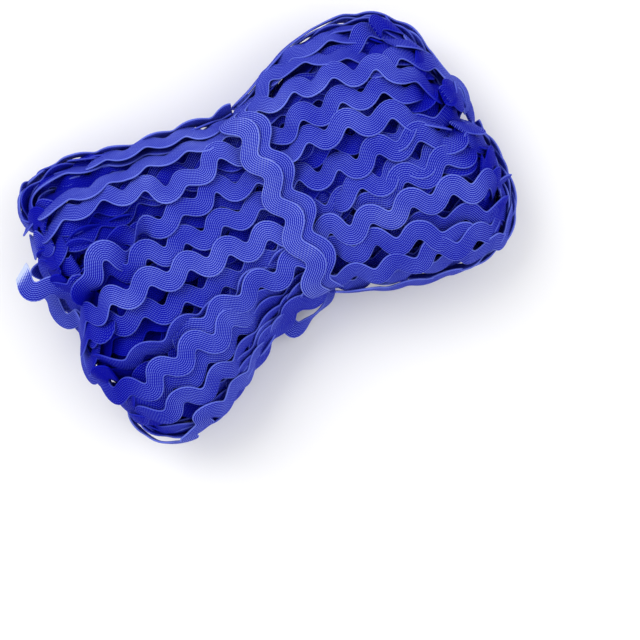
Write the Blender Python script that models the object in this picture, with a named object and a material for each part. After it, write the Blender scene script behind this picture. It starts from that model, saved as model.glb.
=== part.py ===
"""A hank of ric rac: a serpentine trimming wound back and forth, tied round its waist.

X runs along the hank, Y across it and +Z up. The origin is on the surface that the hank
lies on, under the middle of its bounding box. Sizes are in millimetres until an object is made.
"""

import math

import bpy
import numpy as np

MM = 0.001

# The trimming, flat: a band that swings from side to side
BRAID_WIDTH = 10.0
WAVE_LENGTH = 13.7
WAVE_SWING = 1.7
BAND_HALF = BRAID_WIDTH / 2 - WAVE_SWING
BAND_THICK = 1.2

# The wound body
STRANDS_ACROSS = 10
STEPS_PER_STRAND = 4
STATIONS = 59
CENTRE_HEIGHT = 22.0
END_DEPTH = 17.0
SECTION_POWER = 0.86
STRAND_RISE = 1.5
FLOOR = 1.2

# How far each layer clears the one under it
CLEARANCE = 0.35

# Half sections along the hank: place, the two sides in plan, half the thickness
SECTION_COLUMNS = ("x", "side_low", "side_high", "half_thick")
SECTIONS = (
    (-76.0, -47.0, 46.0, 21.0),
    (-62.0, -47.2, 46.4, 23.0),
    (-50.0, -47.4, 46.9, 23.8),
    (-38.0, -46.6, 46.4, 23.0),
    (-28.0, -40.4, 43.0, 20.4),
    (-18.0, -34.0, 40.8, 18.6),
    (-8.0, -30.9, 38.8, 17.2),
    (2.0, -29.4, 36.6, 16.6),
    (9.0, -27.6, 35.0, 16.2),
    (17.0, -30.6, 37.8, 17.0),
    (28.0, -35.8, 43.6, 19.8),
    (38.0, -38.9, 46.0, 22.2),
    (50.0, -41.0, 46.0, 23.0),
    (62.0, -41.0, 45.0, 22.2),
    (76.0, -41.0, 45.0, 21.0),
)

# Where the turns end, from one side of the hank (-1) to the other (1)
END_COLUMNS = ("across", "left_end", "right_end")
ENDS = (
    (-1.00, -45.0, 45.0),
    (-0.95, -58.0, 61.5),
    (-0.86, -61.6, 67.2),
    (-0.68, -62.6, 71.8),
    (-0.46, -67.6, 75.0),
    (-0.24, -69.6, 75.4),
    (-0.05, -65.0, 74.2),
    (0.14, -63.8, 75.2),
    (0.32, -66.6, 73.0),
    (0.50, -67.4, 71.0),
    (0.66, -64.4, 69.6),
    (0.82, -63.8, 66.4),
    (0.94, -61.0, 56.5),
    (1.00, -45.0, 44.0),
)

# Furrows between the bunches of turns: the side of the waist, their line, depth and half width
FURROW_COLUMNS = ("side", "across_at_waist", "across_at_end", "depth", "half_width")
FURROWS = (
    (-1, -0.30, -0.20, 5.5, 0.13),
    (-1, 0.42, 0.50, 4.5, 0.12),
    (-1, 0.10, 0.16, 2.5, 0.10),
    (1, 0.28, 0.20, 4.5, 0.13),
    (1, -0.42, -0.45, 2.5, 0.10),
)

# The tie: one length of the trimming wound almost twice round the waist, over itself
TIE_X = 10.5
TIE_ADVANCE = -4.0
TIE_TURNS = 1.86
TIE_WAVES_PER_TURN = 12
TIE_STEPS_PER_WAVE = 6
TIE_START_ANGLE = -75.0
TIE_LAYER = BAND_THICK + 0.25
TIE_CLIMB = (0.80, 0.97)
TIE_SEAT_X = 10.8
TIE_SEAT_HALF = 9.8
TIE_SEAT_FADE = 5.0
GIRTH_REACH = 72.0

# The cut end, laid over the left end: share of the length, angle in degrees and lift
CUT_COLUMNS = ("share", "angle", "lift")
CUT_END = (
    (-0.930, 96.0, 1.55),
    (-0.965, 88.0, 2.3),
    (-0.990, 79.0, 4.6),
    (-0.996, 69.0, 7.0),
    (-0.985, 57.0, 7.2),
)

# The end of the tie: points in plan and height, and the way that its face looks there
LOOSE_COLUMNS = ("x", "y", "z", "face_x", "face_y", "face_z")
TIE_END = (
    (15.0, -22.0, 2.6, 0.05, -0.20, 0.98),
    (8.0, -27.8, 5.0, 0.10, -0.35, 0.93),
    (1.0, -30.6, 8.0, 0.15, -0.50, 0.85),
    (-8.0, -31.4, 11.0, 0.10, -0.75, 0.65),
)
LOOSE_STEPS_PER_WAVE = 8

BRAID_BLUE = (0.030, 0.040, 0.420, 1.0)
TIE_BLUE = (0.040, 0.055, 0.480, 1.0)
BRAID_ROUGHNESS = 0.78


def clear_scene():
    """Removes every object, so that the file holds only the hank."""
    for item in list(bpy.data.objects):
        bpy.data.objects.remove(item, do_unlink=True)


def column(rows, names, name):
    """One named column of a table."""
    return np.array([row[names.index(name)] for row in rows], float)


def smooth_table(at, places, values):
    """A table read as one smooth curve (Catmull-Rom), held level past its ends."""
    at = np.clip(at, places[0], places[-1])
    slopes = np.gradient(values, places)
    i = np.clip(np.searchsorted(places, at) - 1, 0, len(places) - 2)
    gap = places[i + 1] - places[i]
    t = (at - places[i]) / gap
    return (
        values[i] * (2 * t**3 - 3 * t**2 + 1)
        + slopes[i] * gap * (t**3 - 2 * t**2 + t)
        + values[i + 1] * (3 * t**2 - 2 * t**3)
        + slopes[i + 1] * gap * (t**3 - t**2)
    )


def smooth_step(value, low, high):
    """0 below low, 1 above high and an even slope between them."""
    t = np.clip((value - low) / (high - low), 0.0, 1.0)
    return t * t * (3 - 2 * t)


def section(x, name):
    """A size of the body at x, from the table of sections."""
    return smooth_table(
        x, column(SECTIONS, SECTION_COLUMNS, "x"), column(SECTIONS, SECTION_COLUMNS, name)
    )


def superellipse(angle):
    """The two sides of a slightly squared circle at an angle."""
    c, s = np.cos(angle), np.sin(angle)
    return (
        np.sign(c) * np.abs(c) ** SECTION_POWER,
        np.sign(s) * np.abs(s) ** SECTION_POWER,
    )


def furrow_depth(share, across):
    """How deep the furrows between bunches are, at a share of the length and of the width."""
    depth = np.zeros(np.broadcast(share, across).shape)
    for row in FURROWS:
        side, at_waist, at_end, deepest, half = row
        along = np.clip(share * side, 0.0, 1.0)
        line = at_waist + (at_end - at_waist) * along
        fade = smooth_step(along, 0.12, 0.6)
        depth = np.maximum(depth, deepest * fade * np.exp(-(((across - line) / half) ** 2)))
    return depth


def body_point(share, angle):
    """A point of the body's smooth form.

    share runs from -1 at the left end to 1 at the right one, and angle round the section,
    from 0 at the +Y side over the top. At the ends the top meets the underside.
    """
    share, angle = np.broadcast_arrays(np.asarray(share, float), np.asarray(angle, float))
    across, up = superellipse(angle)
    edge = column(ENDS, END_COLUMNS, "across")
    left = smooth_table(across, edge, column(ENDS, END_COLUMNS, "left_end"))
    right = smooth_table(across, edge, column(ENDS, END_COLUMNS, "right_end"))
    end = np.where(share < 0, -left, right)
    x = share * end
    low, high = section(x, "side_low"), section(x, "side_high")
    start = 1 - END_DEPTH / end
    into_end = np.clip((np.abs(share) - start) / (1 - start), 0.0, 1.0)
    rounding = np.sqrt(1 - into_end**2)
    half = section(x, "half_thick") - furrow_depth(share, across)
    y = (low + high) / 2 + (high - low) / 2 * across
    z = CENTRE_HEIGHT + half * rounding * up
    return np.stack([x, y, z], axis=-1)


def body_normal(share, angle):
    """The outward direction of the smooth form."""
    step = 1e-3
    near = np.clip(share, -1 + step, 1 - step)
    along = body_point(near + step, angle) - body_point(near - step, angle)
    round_it = body_point(near, angle + step) - body_point(near, angle - step)
    out = np.cross(round_it, along)
    out /= np.maximum(np.linalg.norm(out, axis=-1, keepdims=True), 1e-12)
    tip = smooth_step(np.abs(share), 0.985, 1.0)[..., None]
    end = np.stack([np.sign(share), 0 * share, 0 * share], axis=-1)
    out = out * (1 - tip) + end * tip
    return out / np.linalg.norm(out, axis=-1, keepdims=True)


def strand_rise(x, strand, place):
    """How far a strand stands out of the body, across its width and along the hank."""
    crown = np.array([0.0, 0.86, 1.0, 0.86])[place]
    layer = 0.72 + 0.28 * np.cos(2.4 * strand)
    seat = smooth_step(np.abs(x - TIE_SEAT_X), TIE_SEAT_HALF, TIE_SEAT_HALF + TIE_SEAT_FADE)
    return STRAND_RISE * crown * layer * seat


def hank_mesh():
    """The wound body: strands side by side over and under, joined at the two ends."""
    half_count = STRANDS_ACROSS * STEPS_PER_STRAND
    count = 2 * half_count
    # The stations crowd together where the turns bend round the ends
    even = np.linspace(-1.0, 1.0, STATIONS)
    share = even * (1.12 - 0.12 * even**6) / (1.12 - 0.12)
    share = np.sign(share) * np.minimum(np.abs(share), 1.0)
    index = np.arange(half_count + 1)
    strand, place = index // STEPS_PER_STRAND, index % STEPS_PER_STRAND
    angle = np.pi * index / half_count
    grid_share, grid_angle = np.meshgrid(share, angle, indexing="ij")
    plain = body_point(grid_share, grid_angle)
    # Each strand swings from side to side, as the trimming does, and none at the flanks
    phase = 2 * math.pi * plain[..., 0] / WAVE_LENGTH + 0.9 * (index // STEPS_PER_STRAND)
    width = (section(plain[..., 0], "side_high") - section(plain[..., 0], "side_low")) / 2
    swing = WAVE_SWING / width * np.sin(phase) * np.sin(angle) ** 0.5
    swung = grid_angle + swing * smooth_step(np.sin(grid_angle), 0.0, 0.3)
    rise = strand_rise(plain[..., 0], strand[None, :], place[None, :])
    rise[:, [0, -1]] = rise[:, [1, -2]]
    halves = []
    for turn in (1, -1):
        smooth = body_point(grid_share, turn * swung)
        outward = body_normal(grid_share, turn * swung)
        halves.append(smooth + outward * rise[..., None])
    over, under = halves
    seam = (over + under) / 2
    over[[0, -1]] = seam[[0, -1]]
    over[:, [0, -1]] = seam[:, [0, -1]]
    under[..., 2] = np.maximum(under[..., 2], FLOOR)
    vertices, over_id, under_id = [], {}, {}
    for i in range(STATIONS):
        for j in range(half_count + 1):
            over_id[i, j] = len(vertices)
            vertices.append(over[i, j])
            shared = i in (0, STATIONS - 1) or j in (0, half_count)
            under_id[i, j] = over_id[i, j]
            if not shared:
                under_id[i, j] = len(vertices)
                vertices.append(under[i, j])
    faces = []
    for i in range(STATIONS - 1):
        for j in range(half_count):
            corners = ((i, j), (i + 1, j), (i + 1, j + 1), (i, j + 1))
            faces.append([over_id[c] for c in corners])
            faces.append([under_id[c] for c in reversed(corners)])
    return vertices, faces, count


def band_edges(along, wave):
    """The two edges of the flat trimming at a distance along it."""
    turn = 2 * math.pi * along / wave
    middle = WAVE_SWING * np.sin(turn)
    return middle - BAND_HALF, middle + BAND_HALF


def band_faces(stations, profile):
    """The faces of a bar swept through stations, with both ends closed."""
    faces = []
    for i in range(stations - 1):
        for j in range(profile):
            k = (j + 1) % profile
            faces.append(
                [i * profile + j, i * profile + k, (i + 1) * profile + k, (i + 1) * profile + j]
            )
    faces.append(list(range(profile))[::-1])
    faces.append([(stations - 1) * profile + j for j in range(profile)])
    return faces


def even_angles(turns):
    """Angles round the waist at even distances along its girth, for numbers of turns."""
    fine = np.linspace(0.0, 2 * math.pi, 721)
    girth = body_point(TIE_X / GIRTH_REACH, fine)
    run = np.concatenate([[0], np.cumsum(np.linalg.norm(np.diff(girth, axis=0), axis=1))])
    run /= run[-1]
    start = np.interp(math.radians(TIE_START_ANGLE) % (2 * math.pi), fine, run)
    whole = np.floor(start + turns)
    return np.interp(start + turns - whole, run, fine) + 2 * math.pi * whole


def share_at(x, angle):
    """The share of the length at which the body's form is at x, at an angle."""
    share = x / GIRTH_REACH
    for _ in range(6):
        share = share + (x - body_point(share, angle)[..., 0]) / GIRTH_REACH
    return share


def tie_mesh():
    """The trimming wound round the waist, laid on the body's own form."""
    steps = int(TIE_TURNS * TIE_WAVES_PER_TURN * TIE_STEPS_PER_WAVE)
    turns = np.linspace(0.0, TIE_TURNS, steps + 1)
    angle = even_angles(turns)
    low, high = band_edges(turns * TIE_WAVES_PER_TURN, 1.0)
    middle = TIE_X + TIE_ADVANCE * (turns - 1)
    layer = CLEARANCE + TIE_LAYER * smooth_step(turns, *TIE_CLIMB)
    rings = []
    for thick, shares in ((0.0, (0.0, 0.33, 0.67, 1.0)), (BAND_THICK, (1.0, 0.67, 0.33, 0.0))):
        for share_across in shares:
            share = share_at(middle + low + (high - low) * share_across, angle)
            lift = (layer + thick)[:, None]
            rings.append(body_point(share, angle) + body_normal(share, angle) * lift)
    points = np.stack(rings, axis=1)
    profile = points.shape[1]
    return list(points.reshape(-1, 3)), band_faces(steps + 1, profile), profile


def cut_end_rows():
    """The points and facing of the cut end, from its places on the body's form."""
    share = column(CUT_END, CUT_COLUMNS, "share")
    angle = np.radians(column(CUT_END, CUT_COLUMNS, "angle"))
    facing = body_normal(share, angle)
    lift = column(CUT_END, CUT_COLUMNS, "lift")
    return np.hstack([body_point(share, angle) + facing * lift[:, None], facing])


def loose_mesh(table):
    """A free length of the trimming through the rows of a table."""
    knots = table[:, :3]
    along = np.concatenate([[0], np.cumsum(np.linalg.norm(np.diff(knots, axis=0), axis=1))])
    steps = max(4, round(along[-1] / WAVE_LENGTH * LOOSE_STEPS_PER_WAVE))
    at = np.linspace(0.0, along[-1], steps + 1)
    path = np.stack([smooth_table(at, along, knots[:, k]) for k in range(3)], axis=1)
    face = np.stack([smooth_table(at, along, table[:, 3 + k]) for k in range(3)], axis=1)
    forward = np.gradient(path, axis=0)
    forward /= np.linalg.norm(forward, axis=1, keepdims=True)
    face -= forward * (face * forward).sum(1, keepdims=True)
    face /= np.linalg.norm(face, axis=1, keepdims=True)
    side = np.cross(forward, face)
    low, high = band_edges(at, WAVE_LENGTH)
    rings = []
    for lift, shares in ((0.0, (0.0, 0.5, 1.0)), (BAND_THICK, (1.0, 0.5, 0.0))):
        for share in shares:
            rings.append(path + side * (low + (high - low) * share)[:, None] + face * lift)
    points = np.stack(rings, axis=1)
    profile = points.shape[1]
    return list(points.reshape(-1, 3)), band_faces(steps + 1, profile), profile


def braid_material(name, colour):
    """A matte braid of polyester yarn."""
    material = bpy.data.materials.new(name)
    material.use_nodes = True
    shader = material.node_tree.nodes["Principled BSDF"]
    shader.inputs["Base Color"].default_value = colour
    shader.inputs["Roughness"].default_value = BRAID_ROUGHNESS
    shader.inputs["Metallic"].default_value = 0.0
    return material


def make_object(name, built, material):
    """One named object from points in millimetres, with its faces turned outwards."""
    vertices, faces, _ = built
    mesh = bpy.data.meshes.new(name)
    mesh.from_pydata([tuple(float(c) * MM for c in v) for v in vertices], [], faces)
    mesh.update()
    mesh.calc_loop_triangles()
    volume = sum(
        mesh.vertices[t.vertices[0]].co.cross(mesh.vertices[t.vertices[1]].co).dot(
            mesh.vertices[t.vertices[2]].co
        )
        for t in mesh.loop_triangles
    )
    if volume < 0:
        mesh.flip_normals()
    mesh.shade_smooth()
    mesh.materials.append(material)
    item = bpy.data.objects.new(name, mesh)
    bpy.context.scene.collection.objects.link(item)
    return item


def centre_on_footprint(items):
    """Moves the hank so that the origin is under the middle of its bounding box."""
    points = np.array([tuple(v.co) for item in items for v in item.data.vertices])
    low, high = points.min(axis=0), points.max(axis=0)
    for item in items:
        for vertex in item.data.vertices:
            vertex.co.x -= (low[0] + high[0]) / 2
            vertex.co.y -= (low[1] + high[1]) / 2
            vertex.co.z -= low[2]


def main():
    """Builds the hank, its tie and its two loose ends."""
    clear_scene()
    wound = braid_material("wound_braid", BRAID_BLUE)
    tied = braid_material("tie_braid", TIE_BLUE)
    items = [
        make_object("hank", hank_mesh(), wound),
        make_object("waist_tie", tie_mesh(), tied),
        make_object("cut_end", loose_mesh(cut_end_rows()), wound),
        make_object("tie_end", loose_mesh(np.array(TIE_END)), tied),
    ]
    centre_on_footprint(items)


main()
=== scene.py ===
import logging
import math
from dataclasses import dataclass
from enum import Enum
from typing import Any, Iterable, Sequence

import bmesh
import bpy
import numpy as np
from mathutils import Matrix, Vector
from mathutils.bvhtree import BVHTree


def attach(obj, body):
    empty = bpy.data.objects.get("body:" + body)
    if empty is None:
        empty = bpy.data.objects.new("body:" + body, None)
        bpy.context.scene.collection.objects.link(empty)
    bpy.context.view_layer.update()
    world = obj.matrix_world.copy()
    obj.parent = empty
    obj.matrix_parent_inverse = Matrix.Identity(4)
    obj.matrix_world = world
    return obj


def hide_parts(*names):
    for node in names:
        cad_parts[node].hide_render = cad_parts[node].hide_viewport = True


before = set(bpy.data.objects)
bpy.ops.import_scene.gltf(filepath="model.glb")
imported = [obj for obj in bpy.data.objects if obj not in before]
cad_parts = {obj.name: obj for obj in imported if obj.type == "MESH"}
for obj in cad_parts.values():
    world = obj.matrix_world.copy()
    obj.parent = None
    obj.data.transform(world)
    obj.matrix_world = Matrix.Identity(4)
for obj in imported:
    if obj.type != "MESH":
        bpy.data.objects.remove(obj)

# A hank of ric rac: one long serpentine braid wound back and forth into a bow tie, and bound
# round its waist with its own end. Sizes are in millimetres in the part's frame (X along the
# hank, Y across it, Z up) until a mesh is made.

MM = 0.001
LOG = logging.getLogger("ric_rac")
Array = np.ndarray


# Curves and tables


def smooth_table(at: Array, places: Array, values: Array) -> Array:
    """Reads a table as one smooth curve, held level past its ends.

    Args:
        at: Where to read it.
        places: The places of its rows, rising.
        values: The value in each row.

    Returns:
        The value at each of the places asked for.
    """
    at = np.clip(at, places[0], places[-1])
    slopes = np.gradient(values, places)
    i = np.clip(np.searchsorted(places, at) - 1, 0, len(places) - 2)
    gap = places[i + 1] - places[i]
    t = (at - places[i]) / gap
    return (
        values[i] * (2 * t**3 - 3 * t**2 + 1)
        + slopes[i] * gap * (t**3 - 2 * t**2 + t)
        + values[i + 1] * (3 * t**2 - 2 * t**3)
        + slopes[i + 1] * gap * (t**3 - t**2)
    )


def smooth_step(value: Array, low: float, high: float) -> Array:
    """Rises from 0 at low to 1 at high, with level ends."""
    t = np.clip((value - low) / (high - low), 0.0, 1.0)
    return t * t * (3 - 2 * t)


def unit(vectors: Array) -> Array:
    """The same directions with a length of one."""
    return vectors / np.maximum(np.linalg.norm(vectors, axis=-1, keepdims=True), 1e-9)


def soften(values: Array, reach: float) -> Array:
    """Smooths a run of values with a bell-shaped window.

    Args:
        values: One row for each station.
        reach: The window's standard deviation, in stations.

    Returns:
        The smoothed values.
    """
    half = max(1, int(3 * reach))
    window = np.exp(-0.5 * (np.arange(-half, half + 1) / reach) ** 2)
    window /= window.sum()
    flat = values.reshape(len(values), -1)
    padded = np.concatenate([flat[:1].repeat(half, 0), flat, flat[-1:].repeat(half, 0)])
    columns = [np.convolve(padded[:, k], window, mode="valid") for k in range(flat.shape[1])]
    return np.stack(columns, axis=1).reshape(values.shape)


def highest_near(values: Array, reach: int) -> Array:
    """The highest value within reach stations either way.

    Args:
        values: One for each station.
        reach: How many stations either way.

    Returns:
        The highest near each station.
    """
    padded = np.concatenate([values[:1].repeat(reach), values, values[-1:].repeat(reach)])
    return np.max([padded[k : k + len(values)] for k in range(2 * reach + 1)], axis=0)


def run_along(points: Array) -> Array:
    """The distance along a line at each of its points."""
    return np.concatenate([[0], np.cumsum(np.linalg.norm(np.diff(points, axis=0), axis=1))])


def through(rows: Array, run: Array, count: int) -> Array:
    """Reads a table of places as one smooth line with even stations.

    Args:
        rows: The table, with a column for each size.
        run: The distance along the line at each row.
        count: How many stations.

    Returns:
        One row for each station.
    """
    at = np.linspace(0, run[-1], count)
    return np.stack([smooth_table(at, run, rows[:, k]) for k in range(rows.shape[1])], axis=1)


def square_to(vectors: Array, forward: Array) -> Array:
    """Unit vectors that are as near to those given as square to the way forward allows."""
    return unit(vectors - forward * (vectors * forward).sum(1, keepdims=True))


# The wound form


@dataclass(frozen=True)
class WoundForm:
    """The smooth outside of the hank, as sections along it and reaches at its ends."""

    sections: tuple[tuple[float, ...], ...] = (
        (-76.0, -47.0, 46.0, 21.0),
        (-62.0, -47.2, 46.4, 23.0),
        (-50.0, -47.4, 46.9, 23.8),
        (-38.0, -46.6, 46.4, 23.0),
        (-28.0, -40.4, 43.0, 20.4),
        (-18.0, -34.0, 40.8, 18.6),
        (-8.0, -30.9, 38.8, 17.2),
        (2.0, -29.4, 36.6, 16.6),
        (9.0, -27.6, 35.0, 16.2),
        (17.0, -30.6, 37.8, 17.0),
        (28.0, -35.8, 43.6, 19.8),
        (38.0, -38.9, 46.0, 22.2),
        (50.0, -41.0, 46.0, 23.0),
        (62.0, -41.0, 45.0, 22.2),
        (76.0, -41.0, 45.0, 21.0),
    )
    ends: tuple[tuple[float, ...], ...] = (
        (-1.00, -45.0, 45.0),
        (-0.95, -58.0, 61.5),
        (-0.86, -61.6, 67.2),
        (-0.68, -62.6, 71.8),
        (-0.46, -67.6, 75.0),
        (-0.24, -69.6, 75.4),
        (-0.05, -65.0, 74.2),
        (0.14, -63.8, 75.2),
        (0.32, -66.6, 73.0),
        (0.50, -67.4, 71.0),
        (0.66, -64.4, 69.6),
        (0.82, -63.8, 66.4),
        (0.94, -61.0, 56.5),
        (1.00, -45.0, 44.0),
    )
    centre_height: float = 20.8
    end_depth: float = 17.0
    power: float = 0.86

    def _section(self, x: Array, column: int) -> Array:
        """One size of the section at x."""
        table = np.array(self.sections)
        return smooth_table(x, table[:, 0], table[:, column])

    def middle(self, x: Array) -> Array:
        """Y of the section's middle at x."""
        return (self._section(x, 1) + self._section(x, 2)) / 2

    def half_width(self, x: Array) -> Array:
        """Half the section's width at x."""
        return (self._section(x, 2) - self._section(x, 1)) / 2

    def half_thick(self, x: Array) -> Array:
        """Half the section's thickness at x."""
        return self._section(x, 3)

    def across_at(self, x: Array, y: Array, most: float = 0.97) -> Array:
        """The place across the hank, from -most to most."""
        return np.clip((y - self.middle(x)) / self.half_width(x), -most, most)

    def reach(self, across: Array, right: bool) -> Array:
        """How far the left or right end reaches at a place across the hank."""
        table = np.array(self.ends)
        return smooth_table(across, table[:, 0], table[:, 2 if right else 1])

    def end_beyond(self, x: Array, across: Array) -> Array:
        """How far from the middle the hank reaches, on the side of x."""
        return np.where(x < 0, -self.reach(across, False), self.reach(across, True))

    def angle_at(self, across: Array) -> Array:
        """The section angle, over the top, at a place across from -1 to 1."""
        across = np.clip(across, -0.999, 0.999)
        return np.arccos(np.sign(across) * np.abs(across) ** (1 / self.power))

    def point(self, share: Array, angle: Array) -> Array:
        """A point of the form.

        Args:
            share: From -1 at the left end to 1 at the right one.
            angle: Round the section, from 0 at the +Y side over the top.

        Returns:
            Points, in millimetres.
        """
        share, angle = np.broadcast_arrays(np.asarray(share, float), np.asarray(angle, float))
        c, s = np.cos(angle), np.sin(angle)
        across = np.sign(c) * np.abs(c) ** self.power
        up = np.sign(s) * np.abs(s) ** self.power
        end = self.end_beyond(share, across)
        x = share * end
        start = 1 - self.end_depth / end
        into_end = np.clip((np.abs(share) - start) / (1 - start), 0.0, 1.0)
        half = self.half_thick(x) * np.sqrt(1 - into_end**2)
        y = self.middle(x) + self.half_width(x) * across
        return np.stack([x, y, self.centre_height + half * up], axis=-1)

    def normal(self, share: Array, angle: Array) -> Array:
        """The outward direction of the form at the same places.

        Args:
            share: From -1 at the left end to 1 at the right one.
            angle: Round the section, from 0 at the +Y side over the top.

        Returns:
            Unit vectors.
        """
        step = 1e-3
        near = np.clip(share, -1 + step, 1 - step)
        along = self.point(near + step, angle) - self.point(near - step, angle)
        around = self.point(near, angle + step) - self.point(near, angle - step)
        out = unit(np.cross(around, along))
        tip = smooth_step(np.abs(share), 0.985, 1.0)[..., None]
        end = np.stack([np.sign(share), 0 * share, 0 * share], axis=-1)
        return unit(out * (1 - tip) + end * tip)

    def top(self, x: Array, y: Array) -> Array:
        """The height of the form's upper face over a place in plan.

        Args:
            x: The place along the hank.
            y: The place across it.

        Returns:
            The height.
        """
        across = self.across_at(x, y)
        end = self.end_beyond(x, across)
        into_end = np.clip((np.abs(x) - end + self.end_depth) / self.end_depth, 0.0, 0.95)
        up = np.sin(self.angle_at(across)) ** self.power
        return self.centre_height + self.half_thick(x) * np.sqrt(1 - into_end**2) * up

    def top_facing(self, x: Array, y: Array) -> Array:
        """The way that the upper face looks over a place in plan.

        Args:
            x: The place along the hank.
            y: The place across it.

        Returns:
            Unit vectors.
        """
        step = 1.5
        rise_x = (self.top(x + step, y) - self.top(x - step, y)) / (2 * step)
        rise_y = (self.top(x, y + step) - self.top(x, y - step)) / (2 * step)
        steep = 1.6
        rise_x, rise_y = np.clip(rise_x, -steep, steep), np.clip(rise_y, -steep, steep)
        return unit(np.stack([-rise_x, -rise_y, np.ones_like(rise_x)], axis=-1))

    def depth(self, points: Array) -> Array:
        """How far inside the form points lie, in millimetres, or 0 outside.

        Args:
            points: The points.

        Returns:
            The depth of each.
        """
        x, y, z = points.T
        wide = np.abs(y - self.middle(x)) / self.half_width(x)
        thick = self.half_thick(x)
        up = np.abs(z - self.centre_height) / thick
        radius = (wide ** (2 / self.power) + up ** (2 / self.power)) ** (self.power / 2)
        end = self.end_beyond(x, self.across_at(x, y, 1.0))
        return np.maximum(np.minimum((1 - radius) * thick, end - np.abs(x)), 0.0)

    def shrunk(self, side: float, thick: float, end: float) -> "WoundForm":
        """The same form drawn in, most at the lobes, to back the outer windings.

        Args:
            side: How far the sides come in at the lobes.
            thick: How far the top and underside come in.
            end: How far the ends come in.

        Returns:
            The smaller form.
        """
        rows = []
        for x, low, high, half in self.sections:
            lobe = 0.45 + 0.55 * min(abs(x - 9.0) / 40.0, 1.0)
            rows.append((x, low + side * lobe, high - side * lobe, half - thick))
        ends = tuple((a, left + end, right - end) for a, left, right in self.ends)
        return WoundForm(tuple(rows), ends, self.centre_height, self.end_depth - 3, self.power)


# The braid


@dataclass(frozen=True)
class BraidSize:
    """The sizes of the ric rac as it lies: its band swings from side to side along its line."""

    wave_length: float = 12.9
    swing: float = 2.0
    half_band: float = 3.2
    roundness: float = 0.05
    thickness: float = 0.95
    steps_per_wave: int = 14

    @property
    def step(self) -> float:
        """The distance between stations along a strand."""
        return self.wave_length / self.steps_per_wave

    def centre(self, along: Array) -> Array:
        """How far the band's middle lies from its line."""
        return self.swing * np.sin(2 * math.pi * along / self.wave_length)

    def half(self, along: Array) -> Array:
        """Half the band's width."""
        return self.half_band + self.roundness * np.cos(4 * math.pi * along / self.wave_length)


BRAID = BraidSize()
# The height of the lowest strand's middle over the ground
LOWEST = 0.9
# Painted shade: how much darker the yarn is made with each millimetre inside the form
PAINTED_SHADE_PER_MM = 0.15


@dataclass
class Route:
    """A line for a strand to follow, with the way that its face looks."""

    points: Array
    facing: Array

    def even(self, step: float, blur: float = 3.0) -> "Route":
        """The same line with stations at even distances, smoothed.

        Args:
            step: The distance between stations.
            blur: How far the smoothing reaches, in stations.

        Returns:
            The evened route.
        """
        run = run_along(self.points)
        keep = np.concatenate([[True], np.diff(run) > 1e-6])
        count = max(6, int(round(run[-1] / step)))
        at = np.linspace(0, run[-1], count + 1)
        points, facing = (
            np.stack([np.interp(at, run[keep], rows[keep, k]) for k in range(3)], axis=1)
            for rows in (self.points, self.facing)
        )
        return Route(soften(points, blur), unit(soften(facing, blur)))

    def tangent(self) -> Array:
        """The way forward at each station."""
        return unit(np.gradient(self.points, axis=0))

    def nearest_on_top(self, away: Array, least: float) -> int:
        """The station that is nearest to a mark, of those whose face looks up.

        Args:
            away: How far each station is from the mark.
            least: The least upward part of a facing that counts.

        Returns:
            The station's number.
        """
        return int(np.argmin(np.where(self.facing[:, 2] > least, away, 1e3)))


@dataclass
class Strand:
    """A laid length of braid: its line, its two directions, its distance along and its tint, which
    holds its tone and painted shade and light.
    """

    points: Array
    side: Array
    face: Array
    along: Array
    tone_and_shading: float | Array = 0.5

    def proxy(self) -> tuple[Array, list[tuple[int, ...]]]:
        """Makes a coarse copy of its outer face, for later strands to lie on.

        Returns:
            The copy's points and faces.
        """
        middle = BRAID.centre(self.along)
        half = BRAID.half(self.along) + 0.2
        top = self.points + self.face * (BRAID.thickness / 2)
        rows = [top + self.side * (middle + half * k)[:, None] for k in (-1.0, 0.0, 1.0)]
        count = len(self.points)
        faces = []
        for k in range(2):
            for i in range(count - 1):
                a = k * count + i
                faces.append((a, a + 1, a + count + 1, a + count))
        return np.concatenate(rows), faces


class Bed:
    """What has been laid so far, as one surface that rays can meet."""

    def __init__(self) -> None:
        """Starts with nothing laid."""
        self.points: list[Array] = []
        self.faces: list[tuple[int, ...]] = []
        self.count = 0
        self.tree: BVHTree | None = None

    def add(self, points: Array, faces: Iterable[tuple[int, ...]]) -> None:
        """Adds a surface.

        Args:
            points: Its points.
            faces: Its faces, as numbers of its points.
        """
        self.faces.extend(tuple(k + self.count for k in f) for f in faces)
        self.points.append(points)
        self.count += len(points)
        self.tree = None

    def heights(self, base: Array, out: Array, reach: float, lowest: float) -> Array:
        """How high the surface stands over points, along a direction.

        Args:
            base: The points.
            out: The outward direction at each.
            reach: How far outside the points to look from.
            lowest: The height where nothing is met.

        Returns:
            The height at each point.
        """
        if self.tree is None:
            whole = np.concatenate(self.points)
            self.tree = BVHTree.FromPolygons(whole.tolist(), self.faces)
        found = np.full(len(base), lowest)
        starts = base + out * reach
        for i in range(len(base)):
            hit = self.tree.ray_cast(Vector(starts[i]), Vector(-out[i]), reach - lowest)
            if hit[0] is not None:
                found[i] = reach - hit[3]
        return found


@dataclass(frozen=True)
class Laying:
    """How a strand comes to lie on what is under it.

    The floor, the clearance, the most that it may be lifted and the reach from which it looks
    for what is under it are in millimetres, and blur and drape in stations. The sway sizes say
    over how many stations a strand wanders, how much, and how far that tilts and lifts it.
    """

    floor: float = 0.0
    clearance: float = 0.12
    tilt_limit: float = 0.6
    tilt_blur: float = 6.0
    drape: float = 2.2
    lean: float = 0.0
    unrest: float = 0.0
    seed: int = 1
    most: float = 3.0
    reach: float = 14.0
    search_below: float = 6.0
    sway_reach: float = 12.0
    sway_size: float = 6.0
    sway_tilt: float = 0.16
    sway_lift: float = 0.5


@dataclass(frozen=True)
class Twist:
    """A half or whole turn of the band about its own line."""

    at: float
    turns: float
    spread: float = 9.0
    raise_by: float = 2.5


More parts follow.
